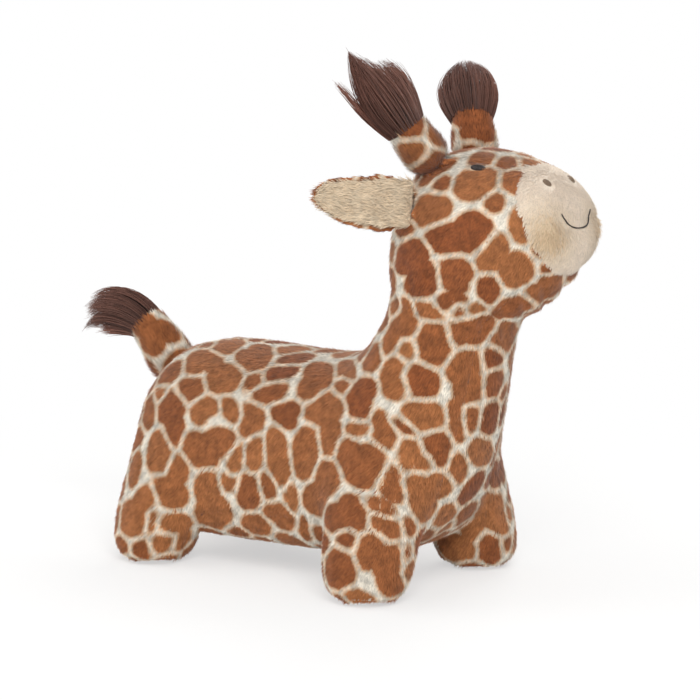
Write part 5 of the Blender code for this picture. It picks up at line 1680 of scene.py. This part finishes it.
@dataclass
class Studio:
    """A plain pale floor, soft lamps, and the photograph's camera."""

    azimuth: float = 38.0
    elevation: float = 9.5
    distance: float = 3.0
    target: tuple[float, float, float] = (0.048, 0.0, 0.243)
    lens: float = 141.94
    sensor: float = 36.0
    ambient: float = 0.55  # strength of the light from all round
    glow_reach: tuple[float, float] = (0.35, 0.95)  # m from the middle where the floor turns wholly white
    floor_half: float = 9.0
    near_white: float = 0.55  # how white the floor looks to the camera next to the object
    # each lamp's name, place, size in m and power in W
    lamps: tuple = (
        ("key", (1.9, -1.9, 2.3), 1.6, 62.0),
        ("fill", (-2.4, -1.6, 1.4), 2.0, 26.0),
        ("back", (-0.6, 2.4, 2.2), 1.8, 26.0),
    )

    def look(self) -> tuple[Vector, Vector, Vector]:
        """The camera's right, up and backward ways."""
        a, e = math.radians(self.azimuth), math.radians(self.elevation)
        back = Vector((math.sin(a) * math.cos(e), -math.cos(a) * math.cos(e), math.sin(e)))
        right = Vector((math.cos(a), math.sin(a), 0.0))
        return right, back.cross(right), back

    def build(self) -> None:
        """Sets up the camera, floor, world and lamps."""
        right, up, back = self.look()
        data = bpy.data.cameras.new("view")
        data.lens = self.lens
        data.sensor_width = self.sensor
        camera = bpy.data.objects.new("view", data)
        turn = Matrix((right, up, back)).transposed().to_4x4()
        camera.matrix_world = Matrix.Translation(Vector(self.target) + back * self.distance) @ turn
        bpy.context.scene.collection.objects.link(camera)
        bpy.context.scene.camera = camera
        bpy.context.scene.view_settings.view_transform = "Standard"
        self.floor()
        self.world()
        for lamp in self.lamps:
            self.lamp(*lamp)

    def seen(self, tree: bpy.types.NodeTree) -> bpy.types.Node:
        """Adds a value: one where the camera sees a surface, also in a gloss or through it, else zero."""
        path = add_node(tree, "ShaderNodeLightPath").outputs
        value = path["Is Camera Ray"]
        for ray in ("Is Glossy Ray", "Is Transmission Ray"):
            value = add_node(tree, "ShaderNodeMath", (value, path[ray]), operation="MAXIMUM")
        return value

    def floor(self) -> None:
        """Lays the floor, which the camera sees nearly white with the object's soft shadow."""
        half = self.floor_half
        corners = np.array([(-half, -half, 0), (half, -half, 0), (half, half, 0), (-half, half, 0)], float)
        mesh = mesh_from("floor", corners, [(0, 1, 2, 3)])
        surface = Surface.start("floor_paper", {"Base Color": linear("FBFBFA"), "Roughness": 0.9})
        tree = surface.tree
        place = add_node(tree, "ShaderNodeTexCoord").outputs["Object"]
        away = add_node(tree, "ShaderNodeVectorMath", (place,), operation="LENGTH").outputs["Value"]
        reach = (away, *self.glow_reach, self.near_white, 1.0)
        far = add_node(tree, "ShaderNodeMapRange", reach, **SOFT)
        share = add_node(tree, "ShaderNodeMath", (self.seen(tree), far), operation="MULTIPLY")
        glow = add_node(tree, "ShaderNodeEmission", {"Color": (1, 1, 1, 1), "Strength": 1.0})
        mixed = add_node(tree, "ShaderNodeMixShader", (share, surface.shader, glow))
        output = next(n for n in tree.nodes if n.type == "OUTPUT_MATERIAL")
        tree.links.new(mixed.outputs[0], output.inputs["Surface"])
        mesh.materials.append(surface.made)
        place_object("floor", mesh)

    def world(self) -> None:
        """Lights the scene from all round, and shows white behind it."""
        world = bpy.data.worlds.new("studio")
        bpy.context.scene.world = world
        world.use_nodes = True
        tree = world.node_tree
        tree.nodes.clear()
        strength = add_node(tree, "ShaderNodeMapRange", (self.seen(tree), 0.0, 1.0, self.ambient, 1.0))
        light = add_node(tree, "ShaderNodeBackground", {"Color": (1, 1, 1, 1), "Strength": strength})
        add_node(tree, "ShaderNodeOutputWorld", {"Surface": light})

    def lamp(self, name: str, place: tuple[float, float, float], size: float, power: float) -> None:
        """Adds a soft square lamp that faces the object."""
        data = bpy.data.lights.new(name, "AREA")
        data.size = size
        data.energy = power
        made = bpy.data.objects.new(name, data)
        away = Vector(place) - Vector(self.target)
        made.matrix_world = Matrix.Translation(place) @ away.to_track_quat("Z", "Y").to_matrix().to_4x4()
        bpy.context.scene.collection.objects.link(made)


@dataclass
class Giraffe:
    """The whole ride-on, with its sub-assemblies in the order in which they are built."""

    frame: dict
    tail_way: tuple[float, float, float] = (-0.6816, 0.0, 0.7317)
    tail_length: float = 0.050
    tail_tuft_way: tuple[float, float, float] = (-0.846, 0.0, 0.533)
    tail_tuft_foot: float = 0.046  # from the tail's hinge
    horn_way: tuple[float, float, float] = (-0.425, 0.425, 0.80)
    horn_length: float = 0.035
    horn_tuft_foot: float = 0.032

    def joint_place(self, name: str) -> np.ndarray:
        """Where a joint's pivot lies."""
        for joint in self.frame["record"]["behaviour"]["joints"]:
            if joint["name"] == name:
                return np.array(joint["pos_m"], float)
        raise KeyError(name)

    def tail(self, wardrobe: Wardrobe) -> Sleeve:
        """The tail with its tuft, which bends over."""
        way, tuft_way = (unit(np.array([way]))[0] for way in (self.tail_way, self.tail_tuft_way))
        pivot = self.joint_place("tail_swing")
        tuft = Tuft(
            wardrobe,
            "tail_tuft",
            "tail",
            foot=pivot + way * self.tail_tuft_foot,
            way=tuft_way,
            length=0.126,
            root=0.0200,
            swell=0.0290,
            droop=86.0,
            seed=5,
            locks=12,
        )
        return Sleeve(wardrobe, "tail", pivot, way, self.tail_length, tuft, seed=41)

    def horn(self, wardrobe: Wardrobe, side: Side) -> Sleeve:
        """One horn with its tuft: the right one's is long and pointed, the left one's short and blunt."""
        name = "horn_" + side.word
        way = np.array(self.horn_way) * (1, side.value, 1)
        way = way / np.linalg.norm(way)
        pivot = self.joint_place(name + "_flex")
        shapes = {
            Side.RIGHT: {"length": 0.100, "swell": 0.0350, "blunt": 0.15, "seed": 7, "apart": 35.0},
            Side.LEFT: {"length": 0.074, "swell": 0.0330, "blunt": 0.70, "seed": 8},
        }
        foot = pivot + way * self.horn_tuft_foot
        tuft = Tuft(wardrobe, name + "_tuft", name, foot, way, root=0.0225, locks=9, **shapes[side])
        return Sleeve(wardrobe, name, pivot, way, self.horn_length, tuft, seed=42 + side.value)

    def build(self) -> None:
        """Builds and dresses everything."""
        wardrobe = Wardrobe(self.frame)
        wardrobe.prepare()
        cover = Cover(wardrobe)
        skin = cover.build()
        log.info("skin: %d points", len(skin.vertices))
        ears = [Ear(wardrobe, side, self.joint_place("ear_%s_flap" % side.word)) for side in Side]
        sleeves = [self.tail(wardrobe), *(self.horn(wardrobe, side) for side in Side)]
        forms = [piece.shape() for piece in (*ears, *sleeves)]
        points = np.concatenate([points_of(m) for m in (skin, *forms)])
        normals = np.concatenate([normals_of(m) for m in (skin, *forms)])
        wardrobe.pattern.lay_out(points[::2], normals[::2])
        log.info("pattern: %d ellipses", len(wardrobe.pattern.middles))
        face = Face(wardrobe)
        face.find_skin(skin)
        cover.dress(skin, face.bare_places())
        for piece, form in zip((*ears, *sleeves), forms):
            piece.dress(form)
        face.dress()
        Underside(wardrobe).dress()
        bpy.data.objects.remove(wardrobe.pile.blade)


def main() -> None:
    """Loads the frame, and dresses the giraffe."""
    logging.basicConfig(level=logging.INFO, format="%(name)s %(relativeCreated)d ms: %(message)s")
    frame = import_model()
    Studio().build()
    Giraffe(frame).build()


if __name__ == "__main__":
    main()
